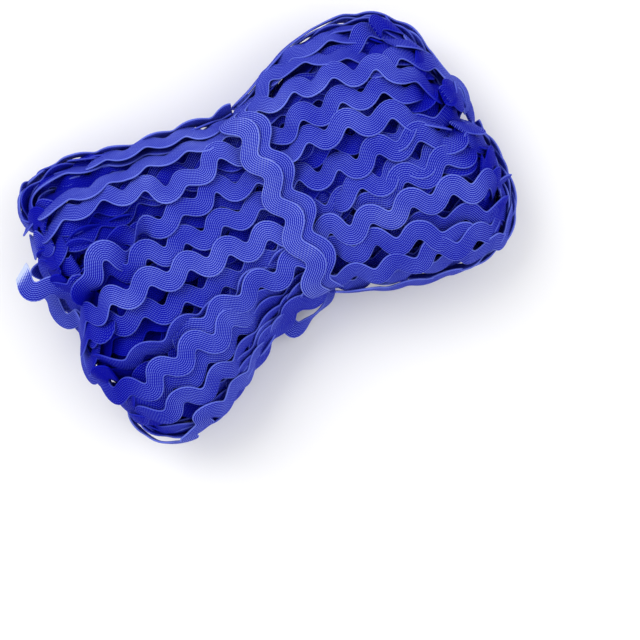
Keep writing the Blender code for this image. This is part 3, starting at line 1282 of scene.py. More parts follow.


# The tints in both tables are painted shade for deep strands and painted light for strands on top, as
# well as tone
LEFT_LEADS = (
    # The flank by the top left corner, and the hollow inside it
    Lead(((880, 262, 9, 70), (700, 238, 10, 75), (560, 205, 10, 80), (450, 170, 11, 82),
          (360, 140, 12, 85), (290, 130, 13), (235, 140), (195, 170), (185, 215, 13, 80),
          (215, 255, 13, 70), (280, 275, 12, 60), (380, 268, 11, 50)), 600, -1, tone_and_shading=0.2),
    Lead(((880, 232, 6, 65), (700, 208, 7, 75), (600, 188, 8, 78), (530, 172, 8, 80),
          (470, 160, 8, 82), (400, 132, 9, 85), (340, 114, 10, 88), (280, 110, 10), (215, 124),
          (182, 155), (172, 195), (190, 235, 11, 80), (250, 262, 11, 60)), 600, -1, tone_and_shading=0.2),
    Lead(((880, 352, 9, 50), (740, 330, 9, 50), (600, 312, 9, 55), (480, 282, 9, 60),
          (380, 262, 9, 65), (300, 250, 9, 70)), 500, -1, tone_and_shading=0.3),
    Lead(((470, 178, 12, 20), (420, 168, 12, 10), (350, 160, 12, 0), (250, 162, 12, 0),
          (190, 180, 13, 40)), 400, -1, tone_and_shading=0.1),
    Lead(((560, 215, 10, 20), (450, 200, 11, 10), (350, 198, 12, 0), (250, 200, 12, 0),
          (190, 215, 13, 40)), 460, -1, tone_and_shading=0.1),
    Lead(((330, 262, 8, 60), (240, 250, 8, 70), (180, 256, 7, 80), (156, 278, 7, 85),
          (172, 304, 8, 80), (230, 318, 7, 65), (300, 312, 7, 60), (380, 312), (450, 330, 8, 50)),
         300, -1, tone_and_shading=0.5),
    Lead(((240, 400, 9, 15), (185, 440, 9, 25), (158, 490, 9, 40), (170, 550, 9, 40),
          (225, 600, 10, 30)), 200, -1, tone_and_shading=0.2),
    Lead(((300, 440, 10, 10), (250, 470, 10, 15), (232, 515, 10, 20), (260, 570, 10, 20),
          (320, 600, 10, 10)), 300, -1, tone_and_shading=0.2),
    # Under the strands along the middle
    Lead(((880, 395, 6, 0), (760, 372, 7, 10), (640, 360, 8, 20), (520, 345, 8, 25),
          (420, 330, 8, 30), (320, 310, 8, 40), (240, 305, 8, 50)), 560, 1, tone_and_shading=0.3),
    Lead(((880, 640, 1.5, 0), (830, 632), (760, 650), (700, 650), (620, 650), (540, 645),
          (480, 635), (400, 635), (340, 615, 2, 0), (280, 605, 3, 0), (225, 600, 5, 0)), 345,
         over=True),
    Lead(((880, 650, 3, 60), (810, 652, 3, 60), (760, 658, 3, 52), (700, 662, 2, 45),
          (640, 685, 2.5, 52), (570, 698, 3, 62), (520, 686), (440, 692), (390, 704),
          (330, 714, 3, 64), (270, 704), (215, 708), (178, 682, 4, 66), (150, 645, 5, 78),
          (160, 610, 7, 85), (210, 596, 10, 75), (280, 610, 12, 60)), 420, 1),
    Lead(((880, 505, 1, 0), (830, 500), (750, 495), (690, 485), (620, 500), (560, 475),
          (500, 490), (430, 460), (370, 480, 2, 5), (320, 460, 4, 10), (270, 440, 5, 10),
          (225, 440, 6, 0)), 430, over=True),
    Lead(((880, 430, 1, 0), (800, 425), (740, 402), (700, 380), (650, 398), (600, 402, 1.5, 0),
          (550, 412), (500, 402, 3, 0), (450, 392, 5, 25), (380, 380, 6, 45), (300, 358, 6, 55),
          (230, 338, 6, 60), (180, 325, 7, 70), (140, 330, 7, 85), (115, 352, 8), (118, 385),
          (150, 420, 10, 80)), 710, 1, twists=(Twist(0.46, 0.5, 7.0, 1.0),)),
    # A short hook, the end of a loop that comes up from below
    Lead(((420, 455, 7, 0), (370, 440, 4, 0), (320, 405, 1.5, 0), (265, 425, 1.5, 0),
          (225, 470, 3, 30), (205, 520, 6, 60)), 315, 1, tone_and_shading=0.6),
    # Bands across the left end
    Lead(((260, 335, 6, 10), (205, 340, 4, 15), (165, 355, 4, 25), (148, 395, 5, 40),
          (160, 440, 6, 55), (180, 510, 8, 70)), 165, -1, tone_and_shading=0.5),
    Lead(((262, 385, 5, 10), (220, 378, 4, 15), (190, 395, 4, 30), (184, 440, 5, 50),
          (196, 490, 7, 70), (200, 540, 8, 80)), 195, -1),
    Lead(((168, 385, 9, 70), (132, 405, 7, 45), (122, 445, 6, 35), (132, 485, 5.5, 35),
          (158, 525, 6, 45), (184, 562, 7, 65), (206, 594, 9, 82)), 120, -1, tone_and_shading=0.7),
    # Deep under the lower flank
    Lead(((880, 745, 8, 20), (760, 760, 9, 25), (640, 800, 9, 30), (540, 850, 9, 30),
          (450, 890, 9, 35), (360, 920, 9, 45), (280, 915, 9, 60)), 640, 1, tone_and_shading=0.2),
    Lead(((880, 780, 8, 45), (760, 790, 9, 50), (660, 830, 11, 50), (560, 885, 11, 55),
          (460, 930, 11, 60), (360, 960, 11, 75)), 600, 1, tone_and_shading=0.2),
    # The lower bunch
    Lead(((880, 735, 3, 80), (780, 752, 4, 80), (700, 762, 4, 75), (620, 778, 3, 60),
          (540, 800, 1.5, 20), (470, 820, 1.5, 5), (400, 840), (330, 840), (260, 860),
          (210, 850, 2, 30), (175, 820, 4, 65), (165, 770, 7, 85), (175, 710, 11, 80),
          (230, 690, 13, 60)), 320, 1),
    Lead(((880, 800, 4, 70), (760, 808, 5, 75), (680, 836), (600, 875), (520, 922, 6, 80),
          (460, 955, 7, 82), (400, 980, 9, 88), (320, 985), (250, 965), (212, 925), (198, 880),
          (202, 840, 10, 80), (230, 805, 11, 60)), 600, 1, tone_and_shading=0.35),
    Lead(((880, 790, 3, 70), (760, 798, 3, 75), (680, 822, 4, 80), (600, 860, 5, 80),
          (530, 895, 5, 80), (470, 925, 7, 82), (400, 952, 9, 85), (320, 960, 11, 88),
          (260, 940), (225, 900), (225, 850, 12, 70)), 560, 1, tone_and_shading=0.4),
    Lead(((880, 765, 3, 80), (760, 784, 4, 80), (660, 818, 5, 80), (580, 852, 5, 80),
          (500, 888, 6, 80), (430, 912, 7, 80), (360, 930, 9, 80)), 600, 1, tone_and_shading=0.6),
    Lead(((880, 748, 2, 80), (780, 766, 3, 80), (700, 785, 4, 80), (620, 812, 4, 80),
          (540, 845, 4, 72), (470, 880, 1.5, 25), (400, 905, 0.7, 5), (330, 892), (270, 905),
          (220, 890, 1, 25), (190, 860, 3, 60), (185, 820, 5, 85), (215, 780, 10, 75)), 330, 1),
    # Along the top shoulder
    Lead(((880, 262, 3, 60), (800, 245, 3, 64), (740, 232), (690, 212), (620, 198), (560, 184),
          (500, 176, 4, 66), (450, 165, 6, 70), (400, 152, 8, 78)), 560, -1, tone_and_shading=0.8),
    Lead(((880, 222, 4, 65), (760, 205, 5, 72), (640, 180, 6, 80), (540, 166, 7, 85),
          (480, 148, 8, 88), (420, 124, 9, 88), (360, 104), (300, 108), (250, 110, 8, 80),
          (200, 126, 8, 85), (170, 152, 8, 88), (160, 190), (180, 228, 8, 75),
          (230, 236, 9, 65), (290, 240, 10, 60)), 600, -1, tone_and_shading=0.7),
    Lead(((150, 240, 9, 80), (172, 230, 6, 70), (205, 225, 3.5, 66), (250, 216, 2.8, 64),
          (300, 212), (375, 224), (450, 228), (540, 240), (620, 250, 2.5, 60),
          (700, 262, 2, 55), (790, 275, 2, 50), (880, 285)), 300, 1, tone_and_shading=0.9),
    Lead(((880, 690, 0, 0), (800, 690), (740, 705), (690, 692), (620, 712), (560, 722, 1, -10),
          (500, 726, 2, -20), (440, 740, 4, -20), (380, 765, 7, 0)), 690, 1, tone_and_shading=0.6),
    Lead(((880, 778, 3, 80), (780, 796, 4, 80), (700, 820, 5, 80), (620, 856, 5, 80),
          (550, 896, 5, 74), (500, 930, 3, 50), (450, 962, 1.5, 20), (405, 966, 1, 5),
          (360, 968, 1, 15), (325, 990, 3, 45), (285, 1008, 5, 75), (220, 990, 6, 85),
          (187, 950, 7, 88), (173, 890, 8), (175, 850, 9, 85), (200, 810, 11, 60)), 375, 1,
         tone_and_shading=0.7),
    Lead(((880, 345, 0.5, 0), (800, 318), (745, 312), (665, 332), (600, 338, 0.5, 15),
          (540, 306, 1.5, 42), (470, 290, 2, 52), (390, 264, 2.5, 56), (310, 262), (240, 268),
          (195, 276, 3.5, 64), (160, 290, 6, 75), (140, 305, 9, 80)), 760, -1, tone_and_shading=0.85),
    Lead(((880, 705, 2, 72), (800, 712, 3, 74), (740, 726, 3, 72), (680, 735, 3, 66),
          (620, 742, 2, 50), (570, 750, 1, 30), (530, 766, 0.5, 15), (480, 780, 0, 5), (420, 768),
          (360, 798), (310, 792), (250, 820, 0, 5), (205, 800, 0.5, 20), (165, 768, 1.5, 45),
          (138, 720, 3, 70), (120, 665, 5, 85), (148, 612, 6), (210, 588, 8, 80),
          (280, 605, 11, 50)), 312, 1, tone_and_shading=0.6),
    Lead(((880, 608, 0, 0), (850, 605), (795, 584), (735, 592), (665, 570), (600, 574),
          (535, 555), (470, 555), (405, 540), (340, 545), (275, 535), (225, 550, 1, 0)), 405,
         over=True, tone_and_shading=0.75),
)
RIGHT_LEADS = (
    # Nested on edge round the top right corner
    Lead(((860, 262, 8, 60), (970, 245, 9, 65), (1080, 215, 10, 70), (1180, 195, 11, 75),
          (1260, 215, 11, 78), (1320, 260, 11, 80), (1350, 320, 12, 82)), 1100, 1, tone_and_shading=0.3),
    Lead(((860, 242, 6, 60), (970, 215, 8, 65), (1080, 175, 9, 75), (1180, 155, 9, 80),
          (1260, 168, 9, 82), (1330, 208, 9, 82), (1375, 265, 10, 82), (1400, 320, 11, 80),
          (1400, 380, 12, 70)), 1100, 1, tone_and_shading=0.3),
    Lead(((860, 228, 5, 65), (960, 198, 6, 75), (1050, 158, 7, 80), (1150, 135, 7, 85),
          (1250, 142, 8, 85), (1330, 175, 8, 85), (1385, 225), (1418, 285), (1432, 345, 9, 85),
          (1432, 400, 10, 80)), 1150, 1, tone_and_shading=0.4),
    Lead(((860, 220, 4, 75), (960, 188, 5, 82), (1050, 146, 6, 84), (1120, 128, 7, 85),
          (1200, 120, 7, 88), (1290, 130), (1360, 168), (1408, 212), (1435, 262), (1452, 325),
          (1458, 385)), 1200, 1, tone_and_shading=0.5),
    Lead(((860, 212, 3, 75), (960, 178, 4, 82), (1050, 138, 5, 85), (1120, 118, 6, 85),
          (1200, 108, 6, 88), (1290, 118), (1360, 152), (1415, 197), (1447, 250), (1464, 320),
          (1466, 370), (1480, 420), (1502, 470, 9, 85), (1494, 520, 10), (1462, 560, 12, 70)),
         1200, 1, tone_and_shading=0.5),
    # The right end
    Lead(((1340, 560, 9, 50), (1395, 570, 9, 70), (1440, 588, 9, 85), (1470, 640, 9, 88),
          (1474, 710), (1462, 790, 9), (1420, 850, 10, 85)), 1430, 1, tone_and_shading=0.4),
    Lead(((1370, 545, 8, 60), (1425, 552, 8, 75), (1468, 578, 8, 88), (1492, 632), (1494, 710),
          (1480, 800, 9), (1440, 870, 10, 85), (1380, 915, 11, 80)), 1430, 1, tone_and_shading=0.5),
    # Deep under the lower flank
    Lead(((860, 745, 7, 20), (960, 770, 8, 25), (1080, 815, 9, 30), (1200, 830, 9, 30),
          (1320, 850, 9, 35), (1420, 830, 10, 60)), 1100, -1, tone_and_shading=0.2),
    Lead(((860, 770, 8, 45), (960, 800, 9, 50), (1080, 855, 11, 50), (1200, 880, 11, 55),
          (1320, 900, 11, 60), (1420, 860, 11, 75)), 1150, -1, tone_and_shading=0.2),
    # The bottom right corner
    Lead(((860, 790, 1, 25), (940, 828), (1000, 845), (1080, 868), (1150, 885, 1, 35),
          (1220, 900), (1280, 905), (1330, 922), (1390, 912, 2, 45), (1432, 890, 4, 70),
          (1465, 845, 7, 85), (1482, 775, 8, 88), (1486, 700)), 1250, -1, tone_and_shading=0.6),
    Lead(((860, 800, 3, 55), (930, 838, 3, 60), (1000, 866, 4, 65), (1080, 898, 5, 70),
          (1160, 918, 6, 75), (1240, 938), (1320, 946, 6, 80), (1390, 932, 7, 82),
          (1440, 896, 8, 85), (1478, 845, 8, 88), (1494, 780), (1498, 700), (1494, 620, 9),
          (1478, 565, 10, 80)), 1080, -1, tone_and_shading=0.6),
    # The upper shoulder
    Lead(((860, 250, 7, 76), (960, 212, 6, 74), (1040, 174, 5, 70), (1110, 156, 4, 68),
          (1180, 154, 4, 68), (1240, 170, 6, 72), (1300, 210, 8, 78), (1350, 262, 10, 80)), 1110,
         1, tone_and_shading=0.8),
    Lead(((860, 258, 4, 60), (930, 230, 3, 62), (990, 196, 3, 62), (1050, 172), (1110, 186),
          (1160, 196), (1210, 226, 3, 58), (1270, 250, 5, 60), (1330, 292, 8, 70)), 1015, 1,
         tone_and_shading=0.75),
    Lead(((1000, 265, 6, 30), (1080, 262, 5, 30), (1150, 285, 5, 30), (1230, 300, 5, 30),
          (1300, 330, 6, 40)), 1110, 1, tone_and_shading=0.3),
    Lead(((900, 290, 4, 30), (980, 298, 4, 30), (1060, 290, 4, 30), (1130, 312, 4, 30),
          (1200, 320, 4, 30), (1280, 350, 5, 40)), 990, 1, tone_and_shading=0.3),
    Lead(((860, 580, 1, 0), (940, 580), (980, 602), (1040, 600), (1090, 622, 3, 0),
          (1150, 650, 5, 0)), 1035, 1),
    Lead(((1000, 600, 3, 20), (1060, 587, 1, 20), (1100, 582, 0.8, 20), (1150, 612), (1230, 594),
          (1290, 618), (1350, 605), (1400, 610, 1, 30), (1440, 580, 3, 55), (1470, 590, 8, 80)),
         1100, 1),
    Lead(((1060, 670, 3, 20), (1140, 652, 1.8, 22), (1220, 634, 1.2, 25), (1290, 655),
          (1350, 646), (1400, 660, 1.2, 35), (1450, 640, 2, 50), (1485, 660, 7, 80)), 1225, 1),
    Lead(((1100, 760, 4, 15), (1190, 767, 2.5, 20), (1250, 785, 1.5, 22), (1310, 808),
          (1370, 815), (1420, 840, 1, 35), (1460, 820, 4, 65)), 1330, -1),
    Lead(((860, 762, 0, 20), (940, 790), (1000, 815), (1060, 832), (1130, 848, 0.5, 35),
          (1190, 846), (1230, 850), (1290, 872), (1360, 870, 1, 40), (1420, 858, 3, 60),
          (1462, 820, 6, 82)), 1210, -1),
    Lead(((940, 410, 5, 20), (1010, 440, 5, 20), (1080, 445, 5, 20), (1150, 460, 5, 20),
          (1230, 490, 5, 20), (1290, 500, 6, 20)), 1080, 1, tone_and_shading=0.3),
    Lead(((940, 530, 5, 20), (1020, 550, 5, 20), (1090, 560, 5, 20), (1160, 570, 5, 20),
          (1240, 575, 5, 20), (1300, 585, 6, 20)), 1000, 1, tone_and_shading=0.3),
    Lead(((1180, 522, 3, 25), (1250, 517, 1.5, 25), (1320, 507, 1, 25), (1368, 522, 2, 45),
          (1385, 560, 5, 70)), 1330, 1),
    Lead(((860, 472, 0.6, 10), (950, 478, 0.6, 22), (1000, 508), (1060, 496), (1130, 530),
          (1200, 517), (1260, 545), (1320, 548), (1370, 565, 2, 35), (1400, 600, 6, 50)), 1065,
         1),
    Lead(((860, 692, 0.5, 0), (940, 715), (1000, 742), (1060, 745), (1110, 773), (1170, 785),
          (1230, 810), (1290, 850, 2, 0), (1350, 872, 4, 0)), 1060, -1),
    Lead(((860, 335, 0.4, 10), (940, 350, 0.6, 28), (1030, 330), (1110, 343), (1180, 334),
          (1240, 363), (1290, 366), (1350, 405, 1.5, 40), (1380, 445, 4, 60),
          (1385, 500, 8, 75)), 1040, 1),
    Lead(((1240, 300, 5, 30), (1310, 312, 3, 38), (1370, 305, 1.5, 40), (1415, 330, 1, 40),
          (1450, 375, 1, 48), (1478, 430, 3, 66), (1496, 478, 6, 82), (1488, 540, 9, 85)),
         1375, 1, tone_and_shading=0.75),
    Lead(((860, 425, 0, 10), (930, 412, 0.3, 25), (1020, 397), (1080, 412), (1150, 410),
          (1220, 440), (1270, 446), (1320, 480, 1, 30), (1345, 530, 5, 60),
          (1340, 580, 9, 70)), 1022, 1, tone_and_shading=0.6),
    Lead(((860, 258, 0, 25), (930, 250, 0.5, 38), (1000, 250), (1050, 240), (1110, 258),
          (1150, 270), (1200, 264), (1250, 295), (1310, 300), (1345, 345), (1385, 392, 1, 45),
          (1420, 450, 4, 60), (1425, 510, 8, 75)), 1052, 1, tone_and_shading=0.7),
    Lead(((860, 640, 0, 0), (950, 646), (1020, 688), (1080, 682), (1150, 705), (1220, 697),
          (1290, 725), (1350, 722), (1400, 752), (1440, 752, 0.6, 20), (1478, 775, 3, 60)), 1080,
         -1, tone_and_shading=0.75),
)


@dataclass
class LeadStrands:
    """The strands that lead the eye on the hank's face, one lobe at a time.

    The gap between stations is in millimetres. A strand banked by full bank or more leans from
    the vertical, and its crest is looked for where its face looks up by at least least up.
    """

    form: WoundForm
    view: "Studio"
    station_gap: float = 0.8
    full_bank: float = 60.0
    least_up: float = 0.45

    def route(self, lead: Lead) -> Route:
        """The line of one leading strand in space.

        Args:
            lead: The strand as drawn.

        Returns:
            The route, carried over the end of the hank where it goes over it.
        """
        rows: list[list[float]] = []
        for place in lead.line:
            last = rows[-1][2:] if rows else [0.0, 0.0]
            extra = list(place[2:]) + last[len(place) - 2 :]
            rows.append([*place[:2], *extra])
        table = np.array(rows, float)
        table[:, 0] = SHEET_LEFT + table[:, 0] * SHEET_UNIT
        table[:, 1] = SHEET_TOP - table[:, 1] * SHEET_UNIT
        run = run_along(table[:, :2])
        drawn = through(table, run, int(run[-1] / self.station_gap))
        plan, drop, bank = soften(drawn[:, :2], 2.0), drawn[:, 2], drawn[:, 3]
        x, y = plan.T
        forward = unit(np.gradient(plan, axis=0))
        left = np.stack([-forward[:, 1], forward[:, 0], 0 * x], axis=1) * lead.outer
        tilt = np.radians(bank)[:, None]
        # A flat strand faces as the form does, and a banked one leans from the vertical
        level = np.clip(np.abs(bank) / self.full_bank, 0.0, 1.0)[:, None]
        base = unit(self.form.top_facing(x, y) * (1 - level) + np.array([0.0, 0.0, 1.0]) * level)
        facing = unit(np.cos(tilt) * base + np.sin(tilt) * left)
        height = self.form.top(x, y) - drop
        points = self.view.placed(x, y, height)
        if lead.over:
            points, facing = self._carry_over(points, facing)
        return Route(points, facing)

    def _carry_over(self, points: Array, facing: Array) -> tuple[Array, Array]:
        """Adds the way over the end of the hank and a little way underneath.

        Args:
            points: The line so far.
            facing: The way that it faces.

        Returns:
            Both, with the way added.
        """
        x, y = points[-1, :2]
        across = self.form.across_at(x, y, 0.95)
        angle = float(self.form.angle_at(across))
        reach = float(self.form.reach(np.array(across), x > 0))
        first = math.asin(min(max((abs(x) - abs(reach)) / self.form.end_depth + 1, 0.0), 0.98))
        ease = np.linspace(first, math.pi / 2, 20)[1:]
        share = (1 - (1 - np.sin(ease)) * self.form.end_depth / abs(reach)) * np.sign(x)
        share = np.concatenate([share, share[::-1][1:]])
        turn = np.concatenate([np.full(19, angle), np.full(18, -angle)])
        look = self.form.normal(share, turn)
        more = self.form.point(share, turn) - look * 1.2
        return np.concatenate([points, more]), np.concatenate([facing, look])

    def build(self, bed: Bed, leads: Sequence[Lead], seed: int) -> list[Strand]:
        """Lays the strands of one lobe, the lowest first.

        Args:
            bed: What is under them.
            leads: The strands as drawn, in the order in which they lie.
            seed: Fixes their small differences.

        Returns:
            The strands.
        """
        strands = []
        for number, lead in enumerate(leads):
            route = self.route(lead)
            line = route.even(BRAID.step)
            crest = SHEET_LEFT + lead.crest * SHEET_UNIT
            away = np.abs(self.view.drawn_x(line.points) - crest)
            station = line.nearest_on_top(away, self.least_up)
            side = np.cross(line.tangent()[station], line.facing[station])
            quarter = BRAID.wave_length / 4 * (1 if side[1] > 0 else -1)
            start = quarter - station * BRAID.step
            how = Laying(unrest=0.7, seed=seed + number, most=2.6, tilt_limit=0.22)
            strands.append(lay_strand(bed, route, start, lead.tone_and_shading, how, lead.twists))
        return strands


@dataclass(frozen=True)
class Corner:
    """A bunch of loops that bends round a corner of the hank, seen on its edges.

    Outward is 1 where the bunch's outer side lies on the right of its line, and -1 on the left.
    The places are a height, from -1 at the underside to 1 at the top, and how far inside the
    outline that loop runs.
    """

    line: tuple[tuple[float, float], ...]
    outward: int
    places: tuple[tuple[float, float], ...] = (
        (-0.05, 2.2),
        (-0.55, 2.8),
        (0.25, 4.2),
        (-0.8, 4.0),
        (-0.3, 5.8),
        (0.05, 7.4),
        (-0.5, 8.0),
        (0.3, 9.0),
    )


@dataclass
class CornerLoops:
    """The loops on edge along the flanks and round the four corners."""

    form: WoundForm
    corners: tuple[Corner, ...] = (
        Corner(
            (
                (14.0, 36.2), (7.6, 35.8), (-8.0, 38.1), (-20.0, 40.7), (-28.8, 42.3), (-36.1, 44.9),
                (-45.0, 47.3), (-52.8, 47.5), (-60.1, 45.6), (-64.2, 41.2), (-65.1, 35.5),
                (-63.7, 31.0), (-58.0, 27.5), (-50.0, 26.0),
            ),
            1,
        ),
        Corner(
            (
                (12.0, -27.6), (4.5, -28.0), (-8.0, -30.6), (-18.4, -36.4), (-26.7, -40.5),
                (-35.1, -46.3), (-40.3, -48.1), (-49.6, -47.8), (-59.0, -44.7), (-62.1, -39.0),
                (-63.7, -31.7), (-62.1, -26.5), (-57.0, -22.0), (-50.0, -20.0),
            ),
            -1,
        ),
        Corner(
            (
                (3.0, 35.8), (10.8, 35.9), (19.1, 39.7), (28.5, 44.4), (35.8, 46.2), (44.1, 47.0),
                (52.4, 46.2), (58.7, 44.4), (67.0, 38.6), (70.7, 30.8), (72.2, 23.5),
                (74.3, 13.1), (75.4, 6.9), (73.3, 0.1), (66.0, -2.0),
            ),
            -1,
        ),
        Corner(
            (
                (3.0, -27.9), (10.8, -27.4), (19.1, -30.6), (27.4, -34.8), (35.8, -37.9), (44.1, -40.5),
                (53.5, -42.1), (63.9, -40.5), (69.1, -35.9), (74.3, -27.5), (75.4, -15.0),
                (75.4, -4.6), (70.0, 2.0),
            ),
            1,
        ),
    )
    stations: int = 160

    def route(self, corner: Corner, level: float, inset: float) -> Route:
        """The line of one loop round a corner.

        Args:
            corner: The bunch.
            level: Its height, from -1 at the underside to 1 at the top.
            inset: How far inside the outline it runs.

        Returns:
            The route.
        """
        knots = np.array(corner.line)
        plan = soften(through(knots, run_along(knots), self.stations), 3.0)
        forward = unit(np.gradient(plan, axis=0))
        outward = np.stack([-forward[:, 1], forward[:, 0]], axis=1) * -corner.outward
        rise = self.form.half_thick(plan[:, 0])
        depth = inset + 0.34 * rise * (1 - math.sqrt(1 - (0.95 * level) ** 2))
        plan = plan - outward * depth[:, None]
        height = self.form.centre_height + rise * level * 0.8
        points = np.concatenate([plan, height[:, None]], axis=1)
        facing = np.concatenate([outward, np.full((len(plan), 1), 0.7 * level)], axis=1)
        return Route(points, unit(facing))

    def build(self, bed: Bed) -> list[Strand]:
        """Lays the corner loops, the inner ones first.

        Args:
            bed: What is under them.

        Returns:
            The strands.
        """
        rng = np.random.default_rng(23)
        strands = []
        for corner in self.corners:
            for level, inset in reversed(corner.places):
                how = Laying(reach=9.0, lean=rng.normal(0.0, 0.12), most=1.5)
                route = self.route(corner, level, inset)
                start = rng.uniform(0, BRAID.wave_length)
                strands.append(lay_strand(bed, route, start, rng.uniform(0.2, 0.8), how))
        return strands


@dataclass
class WaistTie:
    """The end of the braid, wound almost twice round the waist, over itself.

    The middle, the bow on the flanks, the advance for each turn, the place of a bulge across
    the top and the insets are in millimetres, and the start angle is in degrees.
    """

    form: WoundForm
    middle: float = 10.8
    advance: float = -4.6
    turns: float = 1.86
    start_angle: float = -75.0
    bow: float = 3.0
    bulge: float = 4.3
    inset: float = 1.8
    flank_inset: float = 3.2
    reach: float = 72.0
    tones_and_shading: tuple[float, float] = (0.7, 0.9)

    def build(self, bed: Bed) -> list[Strand]:
        """Lays the tie on the finished windings.

        Args:
            bed: The windings.

        Returns:
            Its two turns, the second over the first.
        """
        turns = np.linspace(0.0, self.turns, 400)
        angle = math.radians(self.start_angle) + 2 * math.pi * turns
        x = self.middle + self.advance * (turns - 1) - self.bow * np.abs(np.cos(angle)) ** 3
        # The form is asked for shares of its length, so the share for each X is closed in on
        share = x / self.reach
        for _ in range(6):
            share = share + (x - self.form.point(share, angle)[..., 0]) / self.reach
        facing = self.form.normal(share, angle)
        flank = 1 - np.abs(facing[:, 2:3])
        points = self.form.point(share, angle) - facing * (self.inset + self.flank_inset * flank)
        half, overlap = len(turns) // 2 + 14, 6
        how = Laying(drape=3.0, tilt_limit=0.3, most=7.5)
        strands = []
        for piece, tone_and_shading in zip((slice(0, half), slice(half - overlap, None)), self.tones_and_shading):
            route = Route(points[piece], facing[piece])
            line = route.even(BRAID.step)
            station = line.nearest_on_top(np.abs(line.points[:, 1] - self.bulge), 0.5)
            start = BRAID.wave_length / 4 - station * BRAID.step
            strands.append(lay_strand(bed, route, start, tone_and_shading, how))
        return strands


@dataclass
class LooseEnds:
    """The cut end on the left lobe and the end of the tie under the waist.

    Each place is X, Y and Z, and then the way that the braid's face looks. A phase is the
    distance along the braid at the strand's end.
    """

    cut_places: tuple[tuple[float, ...], ...] = (
        (-59.0, 3.6, 31.0, -0.90, 0.05, 0.30),
        (-62.0, 9.6, 33.6, -0.80, 0.10, 0.50),
        (-65.6, 12.8, 35.0, -0.55, 0.15, 0.85),
        (-69.2, 16.4, 35.4, -0.25, 0.10, 0.95),
        (-72.2, 20.8, 34.4, -0.20, 0.15, 0.95),
    )
    tie_places: tuple[tuple[float, ...], ...] = (
        (15.0, -22.0, 1.6, 0.05, -0.20, 0.98),
        (9.5, -27.0, 5.4, 0.05, -0.80, 0.60),
        (4.5, -30.4, 7.4, 0.00, -1.00, 0.12),
        (0.5, -31.6, 8.2, 0.05, -1.00, 0.12),
        (-3.6, -31.8, 9.0, 0.20, -0.75, 0.60),
        (-6.6, -30.4, 10.0, 0.25, -0.40, 0.90),
        (-8.4, -27.8, 11.0, 0.20, -0.30, 0.95),
    )

    cut_phase: float = 2.6
    tie_phase: float = 3.2
    tone_and_shading: float = 0.6
    fray_reach: float = 1.7
    fray_tint: float = 4.2

    def _strand(self, places: Sequence[tuple[float, ...]], end: float) -> Strand:
        """A free strand through a few places, with its distance along the braid at its end.

        Args:
            places: A table of places and facings.
            end: The distance along the braid at its end.

        Returns:
            The strand.
        """
        table = np.array(places)
        line = through(table, run_along(table[:, :3]), 80)
        route = Route(line[:, :3], line[:, 3:]).even(BRAID.step, 1.0)
        forward = route.tangent()
        out = square_to(route.facing, forward)
        along = end + BRAID.step * (np.arange(len(route.points)) - len(route.points) + 1)
        centre = route.points + out * (BRAID.thickness / 2)
        return Strand(centre, np.cross(forward, out), out, along, self.tone_and_shading)

    def cut_end(self) -> Strand:
        """The cut end of the braid, over the left end of the hank, with its frayed tip.

        Returns:
            The strand, which is lighter towards its tip.
        """
        strand = self._strand(self.cut_places, self.cut_phase)
        from_tip = strand.along[-1] - strand.along
        strand.tone_and_shading = self.tone_and_shading + self.fray_tint * np.exp(-((from_tip / self.fray_reach) ** 2))
        return strand

    def tie_end(self) -> Strand:
        """The end of the tie, coming out from under the waist."""
        return self._strand(self.tie_places, self.tie_phase)


# The picture


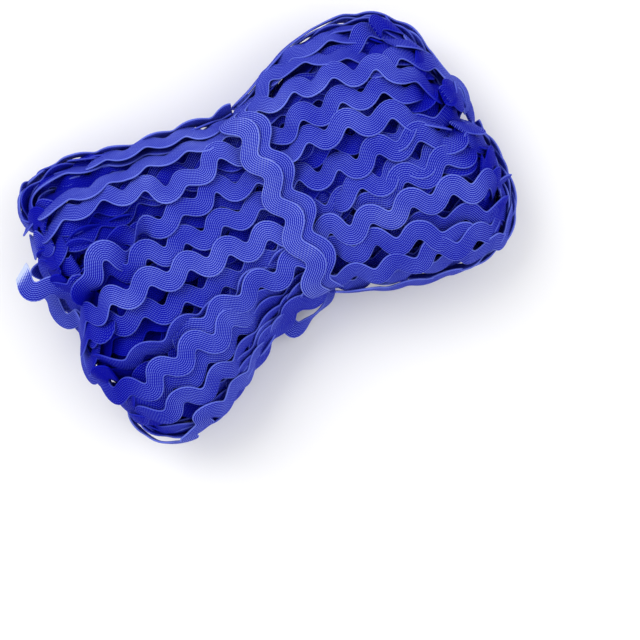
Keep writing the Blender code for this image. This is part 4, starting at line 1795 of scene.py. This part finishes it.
@dataclass
class Studio:
    """A white floor under broad soft light, with the camera straight above.

    The picture's middle, its width and the height of the hank's middle are in millimetres. Each
    lamp has its place and size in metres and its power in watts.
    """

    picture_middle: tuple[float, float] = (2.7, -34.0)
    picture_width: float = 200.0
    turn: float = -28.0
    lens: float = 85.0
    height: float = 22.0
    room_light: float = 0.84
    lamps: tuple[tuple[str, tuple[float, float, float], float, float], ...] = (
        ("Key", (-0.35, 0.75, 1.1), 0.8, 7.5),
        ("Fill", (0.8, -0.5, 1.2), 1.0, 4.0),
    )

    @property
    def distance(self) -> float:
        """How high the camera is over the floor."""
        return self.picture_width * self.lens / 36.0 + self.height

    def _larger(self, height: Array) -> Array:
        """How much larger the camera sees a thing at a height than one at the hank's middle."""
        return (self.distance - self.height) / (self.distance - height)

    def placed(self, x: Array, y: Array, height: Array) -> Array:
        """Points that the camera sees at the places drawn, once they are at their height.

        Args:
            x: Along the hank, as drawn.
            y: Across it, as drawn.
            height: Their height.

        Returns:
            The points.
        """
        x0, y0 = self.picture_middle
        larger = self._larger(height)
        return np.stack([x0 + (x - x0) / larger, y0 + (y - y0) / larger, height], axis=1)

    def drawn_x(self, points: Array) -> Array:
        """Where the camera sees points, along the hank."""
        x0 = self.picture_middle[0]
        return x0 + (points[:, 0] - x0) * self._larger(points[:, 2])

    def build(self) -> None:
        """Makes the floor, the lights and the camera."""
        bpy.context.scene.view_settings.view_transform = "Standard"
        self._floor()
        self._lights()
        self._camera()

    def _floor(self) -> None:
        """A pale floor, far wider than the picture."""
        mesh = bpy.data.meshes.new("Floor")
        reach = 3.0
        corners = [(-reach, -reach, 0), (reach, -reach, 0), (reach, reach, 0), (-reach, reach, 0)]
        mesh.from_pydata(corners, [], [(0, 1, 2, 3)])
        material, shader = new_material("Matt white paper", 0.9)
        shader.inputs["Base Color"].default_value = (0.93, 0.93, 0.93, 1.0)
        mesh.materials.append(material)
        add_object(mesh)

    def _lights(self) -> None:
        """A white room and two broad lamps overhead."""
        world = bpy.data.worlds.new("White room")
        world.use_nodes = True
        sky = world.node_tree.nodes["Background"]
        sky.inputs["Color"].default_value = (1.0, 1.0, 1.0, 1.0)
        sky.inputs["Strength"].default_value = self.room_light
        bpy.context.scene.world = world
        for name, place, size, power in self.lamps:
            light = bpy.data.lights.new(name, "AREA")
            light.size = size
            light.energy = power
            lamp = bpy.data.objects.new(name, light)
            lamp.location = place
            lamp.rotation_euler = (-Vector(place)).to_track_quat("-Z", "Y").to_euler()
            bpy.context.scene.collection.objects.link(lamp)

    def _camera(self) -> None:
        """A long lens, looking straight down, turned as in the photograph."""
        camera = bpy.data.cameras.new("Camera")
        camera.lens = self.lens
        camera.sensor_width = 36.0
        camera.clip_end = 20.0
        item = bpy.data.objects.new("Camera", camera)
        x, y = self.picture_middle
        item.location = (x * MM, y * MM, self.distance * MM)
        item.rotation_euler = (0.0, 0.0, math.radians(self.turn))
        bpy.context.scene.collection.objects.link(item)
        bpy.context.scene.camera = item


def settle(item: bpy.types.Object, slot: str, *nodes: str) -> None:
    """Fixes a finished piece to the part's body.

    Args:
        item: The piece.
        slot: Its material slot; not used.
        *nodes: The CAD nodes that it stands for.
    """
    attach(item, "root")
    if nodes:
        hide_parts(*nodes)


def main() -> None:
    """Lays the windings in order and dresses them."""
    logging.basicConfig(level=logging.INFO, format="%(name)s: %(message)s")
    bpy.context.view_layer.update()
    form, bed, studio = WoundForm(), Bed(), Studio()
    braid = BraidTree(form)
    finish = BraidFinish().build()
    core = InnerCore(form.shrunk(side=8.5, thick=12.5, end=11.0))
    inner = core.build(bed)
    core.dress(inner)
    settle(inner, "wound_braid")
    LOG.info("%s: %d triangles", inner.name, triangles(inner.data))
    # All is laid before any is woven, because each strand lies on those laid before it
    layers = {"corner": CornerLoops(form).build(bed)}
    layers.update(FaceLoops(form).build(bed))
    leads = LeadStrands(form, studio)
    layers["left_lead"] = leads.build(bed, LEFT_LEADS, 100)
    layers["right_lead"] = leads.build(bed, RIGHT_LEADS, 200)
    tie = WaistTie(form).build(bed)
    stands_for = {"middle": ("hank",)}
    for name, strands in layers.items():
        item = braid.weave(f"{name}_loops", strands, finish)
        settle(item, "wound_braid", *stands_for.get(name, ()))
    settle(braid.weave("tie", tie, finish), "tie_braid", "waist_tie")
    ends = LooseEnds()
    for node, slot, strand in (
        ("cut_end", "wound_braid", ends.cut_end()),
        ("tie_end", "tie_braid", ends.tie_end()),
    ):
        item = braid.weave(f"loose_{node}", [strand], finish)
        settle(item, slot, node)
    studio.build()


if __name__ == "__main__":
    main()
